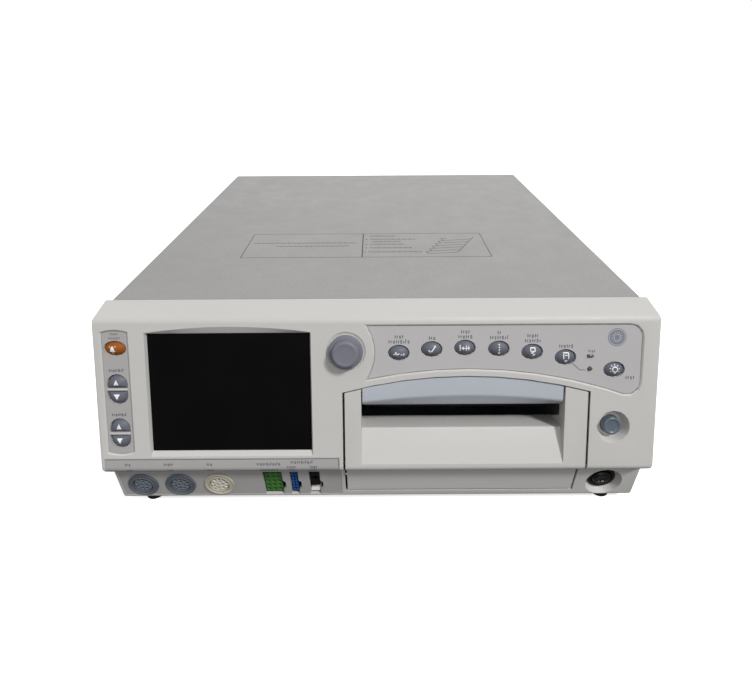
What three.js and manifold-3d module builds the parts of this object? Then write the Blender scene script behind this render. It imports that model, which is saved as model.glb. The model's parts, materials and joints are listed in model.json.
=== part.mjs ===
// Cardiotocograph: a bench monitor for the labour ward with a leaning front, a paper recorder behind
// a drop-down door, twelve keys, a trim knob and transducer sockets under its front lip.
// Millimetres. +X is to the right, +Y to the back, +Z up. The origin is on the table, under the middle.

import * as THREE from 'three';
import { mergeVertices } from 'three/addons/utils/BufferGeometryUtils.js';
import Module from 'manifold-3d';

const wasm = await Module();
wasm.setup();

// Overall size, and the front's profile: distances back from the lip and heights above the table
const width = 426;
const depth = 445;
const height = 170;
const baseHeight = 8.1;
const chinFootDepth = 13.7;
const chinTopDepth = 11.7;
const chinTopHeight = 41;
const lipHeight = 54.4;
const browDepth = 41.4;
const browDrop = 4.3;
const browHeight = height - browDrop;
const seamDepth = 64.3;

// Walls, edges and clearances
const wall = 3;
const sideEdgeRadius = 2;
const lipRadius = 5;
const browRadius = 6;
const chinFootRadius = 3.6;
const chinTopRadius = 1.5;
const overrun = 6;
const seat = 0.3;
const runningGap = 0.2;
const keyGap = 0.4;
const seamGap = 0.4;
const doorSideGap = 1.7;
const doorTopGap = 1;
const screwedGap = 0.1;
const mergeTolerance = 0.0005;

// Places from side to side, as shares of half the width: the right is positive
const displayShares = [-0.8117, -0.2362];
const knobShare = -0.108;
const doorShares = [-0.115, 0.7526];
const latchShare = 0.8465;
const socketShares = [-0.9014, -0.7577, -0.6075];
const slotShares = { scalp: -0.4002, oximetry: -0.3185, cuff: -0.2401 };
const boardShare = -0.1878;
const speakerShare = -0.5868;
const ventShare = -0.5164;
const portShare = -0.3756;
const studShare = 0.3662;
const inletShare = 0.6103;
const rightSide = width / 2;
const leftSide = -rightSide;
const across = (share) => share * rightSide;

// Places up the face, as shares of its length from lip to brow
const displayRiseShares = [0.1297, 0.9053];
const knobRiseShare = 0.7899;
const leftBandRiseShares = [0.1297, 0.9145];
const rightBandTopShare = 0.9516;
const rightBandArchShare = 0.6686;
const alarmRiseShare = 0.8152;
const volumeRiseShares = { display: 0.5474, audio: 0.2552 };
const doorArchShare = 0.6173;
const visorBreakShare = 0.4935;
const visorFootShare = 0.416;
const ridgeShare = 0.261;
const cheekTopShare = 0.5053;
const latchRiseShare = 0.283;
const barRiseShares = [0.5137, 0.5726];
const rollerRiseShare = 0.3705;
const faceLength = Math.hypot(browDepth, browHeight - lipHeight);
const up = (share) => share * faceLength;

// Folded sheet cover, tray and rear panel
const coverStep = 4;
const coverHalf = rightSide - coverStep;
const sheet = 1.6;
const bendRadius = 4;
const tongueReach = 8;
const tongueWall = 2.1;
const rimLength = 6.3;
const trayWall = 25;
const panelInset = 10;
const ventSlot = { count: 12, width: 3, height: 26, pitch: 7, x: across(ventShare), z: 118 };
const grilleHole = { radius: 3.4, pitch: 12, rings: 1 };

// Display: its window's opening in the face, and the wider recess that leads down to it
const display = {
  x0: across(displayShares[0]),
  x1: across(displayShares[1]),
  s0: up(displayRiseShares[0]),
  s1: up(displayRiseShares[1]),
  margin: 3,
  glass: 1.5,
  moduleMargin: 4.5,
};
const recessGrowth = { left: 1.1, right: 1, foot: 3.5, top: 1, rise: 4.6 };
const moduleDepth = 9;

// Trim knob and its encoder
const knobPlace = { x: across(knobShare), s: up(knobRiseShare) };
const knob = { ...knobPlace, skirtRadius: 12.9, capRadius: 10.4, noseRadius: 9.8, height: 10.8 };
const knobForm = { skirt: 2.8, round: 1.4, back: 1.1, socket: 7, hollow: 5.2, hollowDepth: 1.6 };
const knobRecess = { radius: 14.8, depth: 0.8 };
const encoder = { size: 14, depth: 8, bushing: 3.8, shaft: 3, rotor: 5.4, rotorThickness: 2.2, tail: 2 };

// Recorder door, drawn on the face: side edges, and the arc of its top
const [doorLeft, doorRight] = doorShares.map(across);
const doorMiddle = (doorLeft + doorRight) / 2;
const door = {
  x0: doorLeft,
  x1: doorRight,
  apexX: doorMiddle,
  apexS: up(doorArchShare),
  radius: 359,
  footHeight: 17.5,
};
const mouthMargin = { left: 12.5, right: 17.3 };
const mouth = {
  x0: door.x0 + mouthMargin.left,
  x1: door.x1 - mouthMargin.right,
  foot: 4.8,
  ridge: up(ridgeShare),
  ridgeDepth: 7.5,
  ledge: 31,
  cheek: 2.5,
  cheekTop: up(cheekTopShare),
  cheekDepth: 11,
  cheekKnee: 8,
};
const scoopWall = 2.6;
const ridgeRadius = 1.2;
const visor = {
  depth: 1.5,
  breakApex: up(visorBreakShare),
  breakFall: 5.4,
  foot: up(visorFootShare),
  footDepth: 8,
  wall: 3,
  sideGap: 1,
};
const hinge = { y: 18.5, z: 30, pin: 2, ear: 4.4, earWidth: 3, inset: 2, gap: 4 };
const hingeRoot = 4;

// Key bands let into the face, each with a slope round it. The right one arches over the door.
const skin = 0.8;
const skinInset = 0.2;
const bandInset = 1;
const bandSlope = 1.1;
const leftBandPlace = { inset: 6.7, width: 19.4 };
const leftBandEdge = leftSide + leftBandPlace.inset;
const leftBand = {
  x0: leftBandEdge,
  x1: leftBandEdge + leftBandPlace.width,
  s0: up(leftBandRiseShares[0]),
  s1: up(leftBandRiseShares[1]),
  rise: 1.6,
};
const leftBandMiddle = (leftBand.x0 + leftBand.x1) / 2;
const rightBandPlace = { knobGap: 0.8, inset: 13.6 };
const rightBand = {
  x0: knob.x + knobRecess.radius + rightBandPlace.knobGap,
  x1: rightSide - rightBandPlace.inset,
  top: up(rightBandTopShare),
  corner: 9.5,
  waist: 6,
  apexX: doorMiddle,
  apexS: up(rightBandArchShare),
  radius: 365,
};
const keyTravel = 0.8;
const keySize = { rx: 7.7, ry: 5.75, proud: 1.1, edge: 0.7, flange: 1.1, flangeThickness: 1 };
const alarm = { s: up(alarmRiseShare), rx: 8.1, ry: 5.4 };
const volume = { width: 15, height: 22.9, bar: 2.4 };
const volumePlaces = { display: up(volumeRiseShares.display), audio: up(volumeRiseShares.audio) };
const board = { thickness: 1.6, gap: 1.3, post: 2, margin: 3 };

// Keys and lamps of the right band: shares of its length, and rises over its arched foot
const keyShares = {
  pressure_key: 0.1165,
  test_key: 0.236,
  mark_key: 0.3569,
  reference_key: 0.4802,
  paper_key: 0.602,
  record_key: 0.7234,
  light_key: 0.9028,
};
const lampShare = 0.8138;
const keyRise = 16.4;
const barLamp = { rise: 21.8, width: 5.2, height: 2.2 };
const domeLamp = { rise: 11.9, radius: 1.7 };
const lampProud = 0.5;

// Release button, its cup, its bolt and the keeper's eye
const latchPlace = { x: across(latchShare), s: up(latchRiseShare) };
const latch = { ...latchPlace, cupRadius: 12.7, floorRadius: 9.6, cupDepth: 6.4, floor: 2 };
const button = { radius: 7, top: -1, dome: 0.8, flange: 1.4, flangeThickness: 1.2, stem: 4, tip: -20 };
const bolt = { gap: 0.5, reach: 15.7, height: 5, top: -24, thickness: 4, rampTop: 9.5, nose: 1.5 };
const guide = { width: 3, doorGap: 1, reach: 10.9, margin: 3 };
const keeper = { inset: 6.3, thickness: 2.4, width: 15, reach: 31 };

// Recorder frame, roller, head and drive
const frameMargin = 5.5;
const frame = { x0: mouth.x0 - frameMargin, x1: mouth.x1 + frameMargin, plate: 2.2, floor: 2.5 };
const frameDepths = { near: 36, far: 170 };
const frameHeights = { top: 30.3, knee: 15.7 };
const frameBar = { s0: up(barRiseShares[0]), s1: up(barRiseShares[1]), thickness: 3.2 };
const roller = { s: up(rollerRiseShare), depth: 40, radius: 8, shaft: 3, margin: 2, tail: 3 };
const head = { depth: 26, height: 14, nose: 4, foot: 8 };
const gear = { module: 1.2, teeth: 30, pinionTeeth: 10, width: 4.2, backlash: 0.3, angle: -20.4, shaft: 2 };
const toothShares = { tip: 0.9, root: 1.2, crest: 0.55, base: 1.5 };
const motor = { radius: 15, length: 22 };

// Chin: sockets and the power switch, placed along the chin from its foot
const socketHeight = 17.7;
const socket = { flange: 12.15, barrel: 10.6, bore: 9.1, insert: 8.5, proud: 1.6, length: 22 };
const socketForm = { well: 8, pinHole: 0.85, pinDepth: 4, round: 0.6, insertDepth: 3 };
const innerPins = { count: 3, radius: 2.4 };
const outerPins = { count: 9, radius: 5.9 };
const slots = { s0: 3.5, s1: 31.5, front: -1.5, length: 20, ledge: 2.6 };
const slotWidths = { scalp: 15.5, oximetry: 6.7, cuff: 8.7 };
const slotKey = { reach: 2.2, low: 6, high: 15, slope: 2 };
const slotHole = { depth: 6, scalp: 1.6, oximetry: 0.9, cuffMargin: 1.6, cuffFoot: 4.8 };
const overlay = { inset: 3.5, doorGap: 4.8, top: 63.6, foot: 12.4, gap: 0.2 };
const power = { offset: 5.7, s: 17, cupRadius: 14.9, floorRadius: 12.2, cupDepth: 6, floor: 2 };
const switchForm = { ring: 11.4, ringThickness: 1.5, barrel: 9.6, length: 20 };
const rocker = { radius: 8, tilt: 7, thickness: 6 };

// Feet
const footPlace = { inset: 21, frontInset: 25.5, rearInset: 25.7 };
const foot = { radius: 7.6, topRadius: 8.2, stud: 2.6, round: 1 };

// Rear panel fittings, and what stands on the tray
const inletPlace = { x: across(inletShare), z: 44 };
const inlet = { ...inletPlace, width: 27, height: 20, flangeWidth: 47, flangeHeight: 25, depth: 24 };
const inletForm = { flange: 2.5, wall: 2, well: 15, earth: 4 };
const inletPin = { length: 10, width: 2, height: 4, pitch: 7 };
const stud = { x: across(studShare), z: 40, radius: 3, nut: 6.5, nutThickness: 4, length: 9.4, tail: 6 };
const portPlace = { x: across(portShare), z: 44 };
const port = { ...portPlace, width: 19, height: 9, flangeWidth: 31, flangeHeight: 12.5, depth: 10 };
const portForm = { flange: 1.2, proud: 5, slant: 1.2, wall: 0.8, corner: 1.6 };
const standoff = { height: 8, radius: 3.2, inset: 6.4 };
const padInset = { side: 8.8, rear: 12 };
const mainBoard = { inset: 13, frontInset: 90, rearInset: 145.7, thickness: 1.6 };
const chipHeight = 3;
const shieldHeight = 12;
const chipShares = [[0.31, 0.24, 0.16, 0.12], [0.66, 0.29, 0.21, 0.1], [0.75, 0.71, 0.15, 0.11]];
const shieldShares = [0.31, 0.62, 0.25, 0.14];
const supply = { inset: 23, width: 130, rearInset: 41.7, length: 154, height: 46, lip: 6, wall: 2 };
const pump = { rearInset: 115.7, radius: 16, length: 62, base: 40, port: 3 };
const speakerX = across(speakerShare);
const speaker = { rearInset: 80.7, radius: 36, cone: 24, magnet: 16, height: 24, rim: 3 };

const facetSteps = 18;
const keySteps = 12;
const postSteps = 6;
const cornerSteps = 3;
const arcSteps = 8;
const pinSteps = 5;
const nutSides = 6;

// Outlines

function roundedOutline(corners, steps = cornerSteps) {
  const points = [];
  corners.forEach(([x, y, radius = 0], index) => {
    const corner = new THREE.Vector2(x, y);
    if (radius === 0) {
      points.push(corner);
      return;
    }
    const before = corners.at(index - 1);
    const after = corners[(index + 1) % corners.length];
    const back = new THREE.Vector2(before[0], before[1]).sub(corner).normalize();
    const on = new THREE.Vector2(after[0], after[1]).sub(corner).normalize();
    const half = Math.acos(back.dot(on)) / 2;
    const toCentre = back.clone().add(on).normalize().multiplyScalar(radius / Math.sin(half));
    const centre = corner.clone().add(toCentre);
    const start = corner.clone().addScaledVector(back, radius / Math.tan(half)).sub(centre);
    const end = corner.clone().addScaledVector(on, radius / Math.tan(half)).sub(centre);
    const sweep = Math.atan2(start.cross(end), start.dot(end));
    for (let step = 0; step <= steps; step += 1) {
      points.push(start.clone().rotateAround(new THREE.Vector2(), (sweep * step) / steps).add(centre));
    }
  });
  return points;
}

function boxOutline(x0, x1, y0, y1, radius = 0) {
  return roundedOutline([[x0, y0, radius], [x1, y0, radius], [x1, y1, radius], [x0, y1, radius]]);
}

function centredOutline(x, y, wide, tall, radius = 0) {
  return boxOutline(x - wide / 2, x + wide / 2, y - tall / 2, y + tall / 2, radius);
}

function ellipse(x, y, rx, ry = rx, steps = facetSteps) {
  return Array.from({ length: steps }, (_, index) => {
    const angle = (2 * Math.PI * index) / steps;
    return new THREE.Vector2(x + rx * Math.cos(angle), y + ry * Math.sin(angle));
  });
}

// Moves every side of a counterclockwise outline inwards by the same distance
function inset(points, distance) {
  return points.map((point, index) => {
    const incoming = point.clone().sub(points.at(index - 1)).normalize();
    const outgoing = points[(index + 1) % points.length].clone().sub(point).normalize();
    const along = incoming.clone().add(outgoing).normalize();
    const inward = new THREE.Vector2(-along.y, along.x);
    const square = inward.x * -incoming.y + inward.y * incoming.x;
    return point.clone().addScaledVector(inward, distance / square);
  });
}

const grow = (points, distance) => inset(points, -distance);

// Height of a flat arch at x, from its highest point
const archAt = (arch, x) => arch.apexS - arch.radius + Math.sqrt(arch.radius ** 2 - (x - arch.apexX) ** 2);

function archPoints(arch, from, to) {
  return Array.from({ length: arcSteps + 1 }, (_, index) => {
    const x = from + ((to - from) * index) / arcSteps;
    return new THREE.Vector2(x, archAt(arch, x));
  });
}

// Rectangle whose top bulges by a rise at its middle
function bulgedOutline(box, rise, footRise = 0) {
  const middle = (box.x0 + box.x1) / 2;
  const reach = (box.x1 - box.x0) / 2;
  const bow = (x) => 1 - ((x - middle) / reach) ** 2;
  const across = (share) => box.x0 + (box.x1 - box.x0) * share;
  const foot = [];
  const top = [];
  for (let step = 0; step <= arcSteps; step += 1) {
    const x = across(step / arcSteps);
    foot.push(new THREE.Vector2(x, box.s0 - footRise * bow(x)));
    top.unshift(new THREE.Vector2(x, box.s1 + rise * bow(x)));
  }
  return [...foot, ...top];
}

// Solids

function prism(points, from, to, holes = []) {
  const shape = new THREE.Shape(points);
  shape.holes = holes.map((hole) => new THREE.Path(hole));
  return new THREE.ExtrudeGeometry(shape, { depth: to - from, bevelEnabled: false }).translate(0, 0, from);
}

// Revolves [radius, height] pairs about Z
function turned(profile, steps = facetSteps) {
  const points = profile.map(([radius, along]) => new THREE.Vector2(radius, along));
  return new THREE.LatheGeometry(points, steps).rotateX(Math.PI / 2);
}

// Skins over counterclockwise outlines of equal length, each at its own height
function loft(outlines, heights) {
  const count = outlines[0].length;
  const positions = outlines.flatMap((points, level) => (
    points.flatMap((point) => [point.x, point.y, heights[level]])
  ));
  const faces = [];
  for (let level = 0; level + 1 < outlines.length; level += 1) {
    for (let index = 0; index < count; index += 1) {
      const here = level * count + index;
      const next = level * count + ((index + 1) % count);
      faces.push(here, next, next + count, here, next + count, here + count);
    }
  }
  const last = (outlines.length - 1) * count;
  for (const [a, b, c] of THREE.ShapeUtils.triangulateShape(outlines[0], [])) faces.push(c, b, a);
  for (const [a, b, c] of THREE.ShapeUtils.triangulateShape(outlines.at(-1), [])) {
    faces.push(last + a, last + b, last + c);
  }
  const geometry = new THREE.BufferGeometry();
  geometry.setAttribute('position', new THREE.Float32BufferAttribute(positions, 3));
  geometry.setIndex(faces);
  return geometry;
}

function signedVolume(position, faces) {
  const [a, b, c] = [new THREE.Vector3(), new THREE.Vector3(), new THREE.Vector3()];
  let total = 0;
  for (let index = 0; index < faces.length; index += 3) {
    a.fromBufferAttribute(position, faces[index]);
    b.fromBufferAttribute(position, faces[index + 1]);
    c.fromBufferAttribute(position, faces[index + 2]);
    total += a.dot(b.cross(c));
  }
  return total;
}

// A closed geometry as a manifold solid, moved by a matrix
function solid(geometry, matrix = new THREE.Matrix4()) {
  const plain = geometry.clone();
  plain.deleteAttribute('normal');
  plain.deleteAttribute('uv');
  const merged = mergeVertices(plain, mergeTolerance).applyMatrix4(matrix);
  const faces = [];
  const index = merged.index.array;
  for (let at = 0; at < index.length; at += 3) {
    const [a, b, c] = [index[at], index[at + 1], index[at + 2]];
    if (a !== b && b !== c && c !== a) faces.push(a, b, c);
  }
  if (signedVolume(merged.attributes.position, faces) < 0) faces.reverse();
  const vertProperties = merged.attributes.position.array;
  const mesh = new wasm.Mesh({ numProp: 3, vertProperties, triVerts: Uint32Array.from(faces) });
  return new wasm.Manifold(mesh);
}

const join = (...solids) => solids.reduce((whole, next) => whole.add(next));
const cut = (whole, ...tools) => tools.reduce((rest, tool) => rest.subtract(tool), whole);
const common = (one, other) => one.intersect(other);

function geometryOf(body) {
  const { vertProperties, triVerts } = body.getMesh();
  const geometry = new THREE.BufferGeometry();
  geometry.setAttribute('position', new THREE.BufferAttribute(vertProperties, 3));
  geometry.setIndex(new THREE.BufferAttribute(triVerts, 1));
  return geometry;
}

// The front's profile in (y, z), counterclockwise, then the places that follow from it

const profileCorners = [
  [seamDepth, height],
  [browDepth, browHeight, browRadius],
  [0, lipHeight, lipRadius],
  [chinTopDepth, chinTopHeight, chinTopRadius],
  [chinFootDepth, baseHeight, chinFootRadius],
  [seamDepth + 2 * overrun, baseHeight],
  [seamDepth + 2 * overrun, height],
];
const rawProfile = roundedOutline(profileCorners, cornerSteps + 1);
const lipSetback = Math.min(...rawProfile.map((point) => point.x));
const front = -depth / 2 - lipSetback;
const rear = depth / 2;
const profile = rawProfile.map((point) => new THREE.Vector2(point.x + front, point.y));

const lean = Math.atan2(browDepth, browHeight - lipHeight);
const chinLean = Math.atan2(chinFootDepth - chinTopDepth, chinTopHeight - baseHeight);
const quarter = Math.PI / 2;
const sheetInside = coverHalf - sheet - seat;

function placed(x, y, z, turn = 0) {
  return new THREE.Matrix4().makeTranslation(x, y, z).multiply(new THREE.Matrix4().makeRotationX(turn));
}

const axis = (x, y, z) => new THREE.Vector3(x, y, z);
const [alongX, alongY, alongZ] = [axis(1, 0, 0), axis(0, 1, 0), axis(0, 0, 1)];

// Face: x, up the face, out of the face. Chin: the same on the chin. Side: y, z, along x.
const facePlane = placed(0, front, lipHeight, quarter - lean);
const chinPlane = placed(0, front + chinFootDepth, baseHeight, quarter + chinLean);
const sidePlane = new THREE.Matrix4().makeBasis(alongY, alongZ, alongX);
const faceSection = facePlane.clone().multiply(sidePlane);
const rearPlane = new THREE.Matrix4().makeBasis(axis(-1, 0, 0), alongZ, alongY);
const backFace = placed(0, rear - panelInset, 0).multiply(rearPlane);

const onFace = (geometry) => solid(geometry, facePlane);
const onChin = (geometry) => solid(geometry, chinPlane);
const onSide = (geometry) => solid(geometry, sidePlane);
const acrossFace = (geometry) => solid(geometry, faceSection);

function facePoint(s, out) {
  return new THREE.Vector3(0, s, out).applyMatrix4(facePlane);
}

function block(x0, x1, y0, y1, z0, z1) {
  const middle = [(x0 + x1) / 2, (y0 + y1) / 2, (z0 + z1) / 2];
  return new THREE.BoxGeometry(x1 - x0, y1 - y0, z1 - z0).translate(...middle);
}

// The front's outer form, its sides rounded, drawn in by a distance
function frontForm(drawnIn) {
  const half = width / 2 - drawnIn;
  const radius = Math.max(sideEdgeRadius - drawnIn, 0);
  const outlines = [];
  const heights = [];
  for (const side of [-1, 1]) {
    for (let step = 0; step <= cornerSteps; step += 1) {
      const share = side < 0 ? 1 - step / cornerSteps : step / cornerSteps;
      const angle = share * quarter;
      const outline = inset(profile, drawnIn + radius * (1 - Math.cos(angle)));
      outlines.push(outline);
      heights.push(side * (half - radius + radius * Math.sin(angle)));
    }
  }
  if (radius === 0) return onSide(loft([outlines[0], outlines.at(-1)], [-half, half]));
  return onSide(loft(outlines, heights));
}

// Outlines on the face

const displayOutline = bulgedOutline(display, 0);
const displayRecess = {
  x0: display.x0 - recessGrowth.left,
  x1: display.x1 + recessGrowth.right,
  s0: display.s0 - recessGrowth.foot,
  s1: display.s1 + recessGrowth.top,
};
const recessOutline = bulgedOutline(displayRecess, recessGrowth.rise);
const leftBandOutline = bulgedOutline(leftBand, leftBand.rise, leftBand.rise);

function rightBandOutline() {
  const { x0, x1, top, corner, waist } = rightBand;
  const foot = archPoints(rightBand, x0, x1);
  const drop = foot[0].y;
  const side = [];
  for (let step = 1; step < cornerSteps * 2; step += 1) {
    const share = step / (cornerSteps * 2);
    side.push([x0 + waist * (1 - (2 * share - 1) ** 2), top + (drop - top) * share]);
  }
  const footCorners = foot.slice(0, -1).map((point) => [point.x, point.y]);
  const topCorners = [[x1, foot.at(-1).y, corner], [x1, top, corner], [x0, top]];
  return roundedOutline([...footCorners, ...topCorners, ...side]);
}

function halfKeyOutline(s, side) {
  const radius = volume.width / 2;
  const centre = volume.height / 2 - radius;
  const points = [];
  for (let step = 0; step <= keySteps / 2; step += 1) {
    const angle = (Math.PI * step) / (keySteps / 2);
    const rise = centre + radius * Math.sin(angle);
    points.push([leftBandMiddle + radius * Math.cos(angle), s + side * rise]);
  }
  points.push([leftBandMiddle - radius, s + (side * volume.bar) / 2]);
  points.push([leftBandMiddle + radius, s + (side * volume.bar) / 2]);
  const outline = points.map(([x, y]) => new THREE.Vector2(x, y));
  return side > 0 ? outline : outline.reverse();
}

const leftKeyOutlines = {
  alarm_key: ellipse(leftBandMiddle, alarm.s, alarm.rx, alarm.ry, keySteps),
};
for (const [name, s] of Object.entries(volumePlaces)) {
  leftKeyOutlines[`${name}_volume_up_key`] = halfKeyOutline(s, 1);
  leftKeyOutlines[`${name}_volume_down_key`] = halfKeyOutline(s, -1);
}

// A place on the right band, by its share of the band's length and its rise over the arched foot
function bandPlace(share, rise) {
  const x = rightBand.x0 + (rightBand.x1 - rightBand.x0) * share;
  return new THREE.Vector2(x, archAt(rightBand, x) + rise);
}

const rightKeys = {};
const rightKeyOutlines = {};
for (const [name, share] of Object.entries(keyShares)) {
  const place = bandPlace(share, keyRise);
  rightKeys[name] = place;
  rightKeyOutlines[name] = ellipse(place.x, place.y, keySize.rx, keySize.ry, keySteps);
}

const barPlace = bandPlace(lampShare, barLamp.rise);
const domePlace = bandPlace(lampShare, domeLamp.rise);
const lampOutlines = {
  bar_lamp: centredOutline(barPlace.x, barPlace.y, barLamp.width, barLamp.height),
  dome_lamp: ellipse(domePlace.x, domePlace.y, domeLamp.radius, domeLamp.radius, postSteps),
};

function keyHoles(outlines, from) {
  return Object.values(outlines).map((outline) => onFace(prism(grow(outline, keyGap), from, overrun)));
}

// The door's place on the front, grown by its gaps: the face down to the lip, then lip and chin
function doorRegion(sideGap, topGap) {
  const [x0, x1] = [door.x0 - sideGap, door.x1 + sideGap];
  const arch = archPoints(door, x1, x0).map((point) => new THREE.Vector2(point.x, point.y + topGap));
  const face = [new THREE.Vector2(x0, -overrun), new THREE.Vector2(x1, -overrun), ...arch];
  const footHeight = door.footHeight - sideGap;
  const chin = block(x0, x1, front - overrun, front + hinge.y + sideGap, footHeight, lipHeight + overrun);
  return join(onFace(prism(face, -wall - 2 * lipSetback, overrun)), solid(chin));
}

// Hinge ears stand inside the chin, round the door's pin
const pinY = front + hinge.y;

function ear(x0) {
  const outline = roundedOutline([
    [pinY - hingeRoot, hinge.z - hinge.ear],
    [pinY + hinge.ear, hinge.z - hinge.ear, hinge.ear - seat],
    [pinY + hinge.ear, hinge.z + hinge.ear, hinge.ear - seat],
    [pinY - hingeRoot, hinge.z + hinge.ear],
  ]);
  const bore = ellipse(pinY, hinge.z, hinge.pin + runningGap, undefined, keySteps);
  return prism(outline, x0, x0 + hinge.earWidth, [bore]);
}

const doorEars = [door.x0 + hinge.inset, door.x1 - hinge.inset - hinge.earWidth];
const bezelEars = [doorEars[0] - hinge.gap - hinge.earWidth, doorEars[1] + hinge.gap + hinge.earWidth];

// Keyed sockets: left and right sides, and a boxed outline with a keying notch in its right side
const slotSides = (name) => {
  const middle = across(slotShares[name]);
  return [middle - slotWidths[name] / 2, middle + slotWidths[name] / 2];
};

function keyedOutline(x0, x1) {
  const { s0, s1 } = slots;
  const { reach, low, high, slope } = slotKey;
  return roundedOutline([
    [x0, s0],
    [x1, s0],
    [x1, s0 + low],
    [x1 + reach, s0 + low + slope],
    [x1 + reach, s0 + high],
    [x1, s0 + high + slope],
    [x1, s1],
    [x0, s1],
  ]);
}

// A cup let into a wall: its outside, and the cone, floor and bore that are cut from it
function cupOutside(place) {
  const outline = ellipse(place.x, place.s, place.cupRadius + seat);
  return prism(outline, -place.cupDepth - place.floor, -wall / 2);
}

function cupInside(place, bore) {
  const depthOfAll = place.cupDepth + place.floor + overrun;
  const cone = turned([
    [0, overrun],
    [place.cupRadius, overrun],
    [place.cupRadius, 0],
    [place.floorRadius, -place.cupDepth],
    [bore, -place.cupDepth],
    [bore, -depthOfAll],
    [0, -depthOfAll],
  ]);
  return cone.translate(place.x, place.s, 0);
}

// Front bezel: a hollow moulding with a return flange that the cover slips over

function frontShell() {
  const slab = solid(block(-width, width, front - overrun, front + seamDepth, 0, height + overrun));
  const outer = common(frontForm(0), slab);
  const flangeStart = front + seamDepth - rimLength;
  const flangeTop = height - sheet - seat;
  const flangeFoot = baseHeight + trayWall + sheet;
  const flange = roundedOutline([
    [-sheetInside, flangeFoot],
    [sheetInside, flangeFoot],
    [sheetInside, flangeTop, bendRadius - sheet],
    [-sheetInside, flangeTop, bendRadius - sheet],
  ]);
  const tongue = solid(prism(flange, flangeStart, front + seamDepth + tongueReach), rearPlane);
  const hollowSlab = solid(block(-width, width, front - overrun, flangeStart, 0, height + overrun));
  const hollow = common(frontForm(wall), hollowSlab);
  const bore = boxOutline(
    tongueWall - sheetInside,
    sheetInside - tongueWall,
    baseHeight + wall,
    flangeTop - tongueWall,
    bendRadius / 2,
  );
  const throat = solid(prism(bore, flangeStart - seat, front + seamDepth + 2 * tongueReach), rearPlane);
  return cut(join(outer, tongue), hollow, throat);
}

function overlayRegion(gap) {
  const [x0, x1] = [leftSide + overlay.inset - gap, door.x0 - overlay.doorGap + gap];
  return solid(block(x0, x1, front - overrun, front + hinge.y, overlay.foot - gap, overlay.top + gap));
}

function chinHoles() {
  const round = socketShares.map((share) => ellipse(across(share), socketHeight, socket.barrel + seat));
  const keyed = Object.keys(slotShares).map((name) => keyedOutline(...slotSides(name)));
  return [...round, ...keyed].map((outline) => onChin(prism(outline, -2 * overrun, overrun)));
}

// A band's recess: upright round its skin, then sloping out to the face
function bandRecess(outline) {
  const wide = grow(outline, bandSlope);
  return onFace(loft([outline, outline, wide, wide], [-bandInset - skin - seat, -bandInset, 0, overrun]));
}

function boltGuides() {
  const low = bolt.top - bolt.thickness - guide.margin;
  const [first, second] = [door.x1 + doorSideGap + guide.doorGap, latch.x + guide.reach];
  const bodies = [first, second].map((x) => (
    onFace(block(x, x + guide.width, latch.s - bolt.height, latch.s + bolt.height, low, -wall / 2))
  ));
  const half = bolt.height / 2 + seat;
  const slot = block(first - wall, second + 2 * wall, latch.s - half, latch.s + half,
    bolt.top - bolt.thickness - seat, bolt.top + seat);
  return cut(join(...bodies), onFace(slot));
}

function boardPosts(places) {
  return places.map(([x, s]) => (
    onFace(prism(ellipse(x, s, board.post, board.post, postSteps), boardTop + seat, -wall / 2))
  ));
}

const keyFlangeTop = -wall - seat;
const keyFlangeFoot = keyFlangeTop - keySize.flangeThickness;
const boardTop = keyFlangeFoot - board.gap;
const leftPostX = leftBand.x1 - board.post - seat;
const leftPosts = [
  [leftPostX, (volumePlaces.display + volume.height / 2 + alarm.s - alarm.ry) / 2],
  [leftPostX, (volumePlaces.display + volumePlaces.audio) / 2],
];
const postNeighbours = {
  pressure_key: 'test_key',
  test_key: 'mark_key',
  reference_key: 'paper_key',
  paper_key: 'record_key',
};
const rightPosts = Object.entries(postNeighbours).map(([before, after]) => {
  const middle = rightKeys[before].clone().lerp(rightKeys[after], 1 / 2);
  return [middle.x, middle.y];
});

function frontBezel() {
  const added = [
    onFace(cupOutside(latch)),
    onChin(cupOutside({ x: powerX, ...power })),
    boltGuides(),
    ...boardPosts([...leftPosts, ...rightPosts]),
    ...bezelEars.map((x) => onSide(ear(x))),
  ];
  const displayCut = loft(
    [displayOutline, displayOutline, recessOutline, recessOutline],
    [-wall - overrun, -wall, 0, overrun],
  );
  const knobCut = turned([
    [0, overrun],
    [knobRecess.radius, overrun],
    [knobRecess.radius, -knobRecess.depth],
    [encoder.bushing + seat, -knobRecess.depth],
    [encoder.bushing + seat, -wall - overrun],
    [0, -wall - overrun],
  ]).translate(knob.x, knob.s, 0);
  const removed = [
    onFace(displayCut),
    onFace(knobCut),
    bandRecess(leftBandOutline),
    bandRecess(rightBandOutline()),
    ...keyHoles(leftKeyOutlines, -wall - seat / 2),
    ...keyHoles(rightKeyOutlines, -wall - seat / 2),
    ...Object.values(lampOutlines).map((lamp) => onFace(prism(grow(lamp, seat), -2 * wall, overrun))),
    onFace(cupInside(latch, button.radius + keyGap)),
    onChin(cupInside({ x: powerX, ...power }, switchForm.barrel + seat)),
    cut(overlayRegion(overlay.gap), frontForm(skin + skinInset)),
    ...chinHoles(),
    ...footHoles(footRows.front),
  ];
  const hollowBody = cut(frontShell(), doorRegion(doorSideGap, doorTopGap));
  return cut(join(hollowBody, ...added), ...removed);
}

const footRows = { front: front + footPlace.frontInset, rear: rear - footPlace.rearInset };
const footSides = { left: leftSide + footPlace.inset, right: rightSide - footPlace.inset };

function footHoles(y) {
  const hole = prism(ellipse(0, y, foot.stud + seat, undefined, keySteps), 0, baseHeight + trayWall / 2);
  return Object.values(footSides).map((x) => solid(hole.clone().translate(x, 0, 0)));
}

function connectorOverlay() {
  const band = cut(frontForm(skinInset), frontForm(skinInset + skin - seat));
  return cut(common(band, overlayRegion(0)), ...chinHoles());
}

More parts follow.
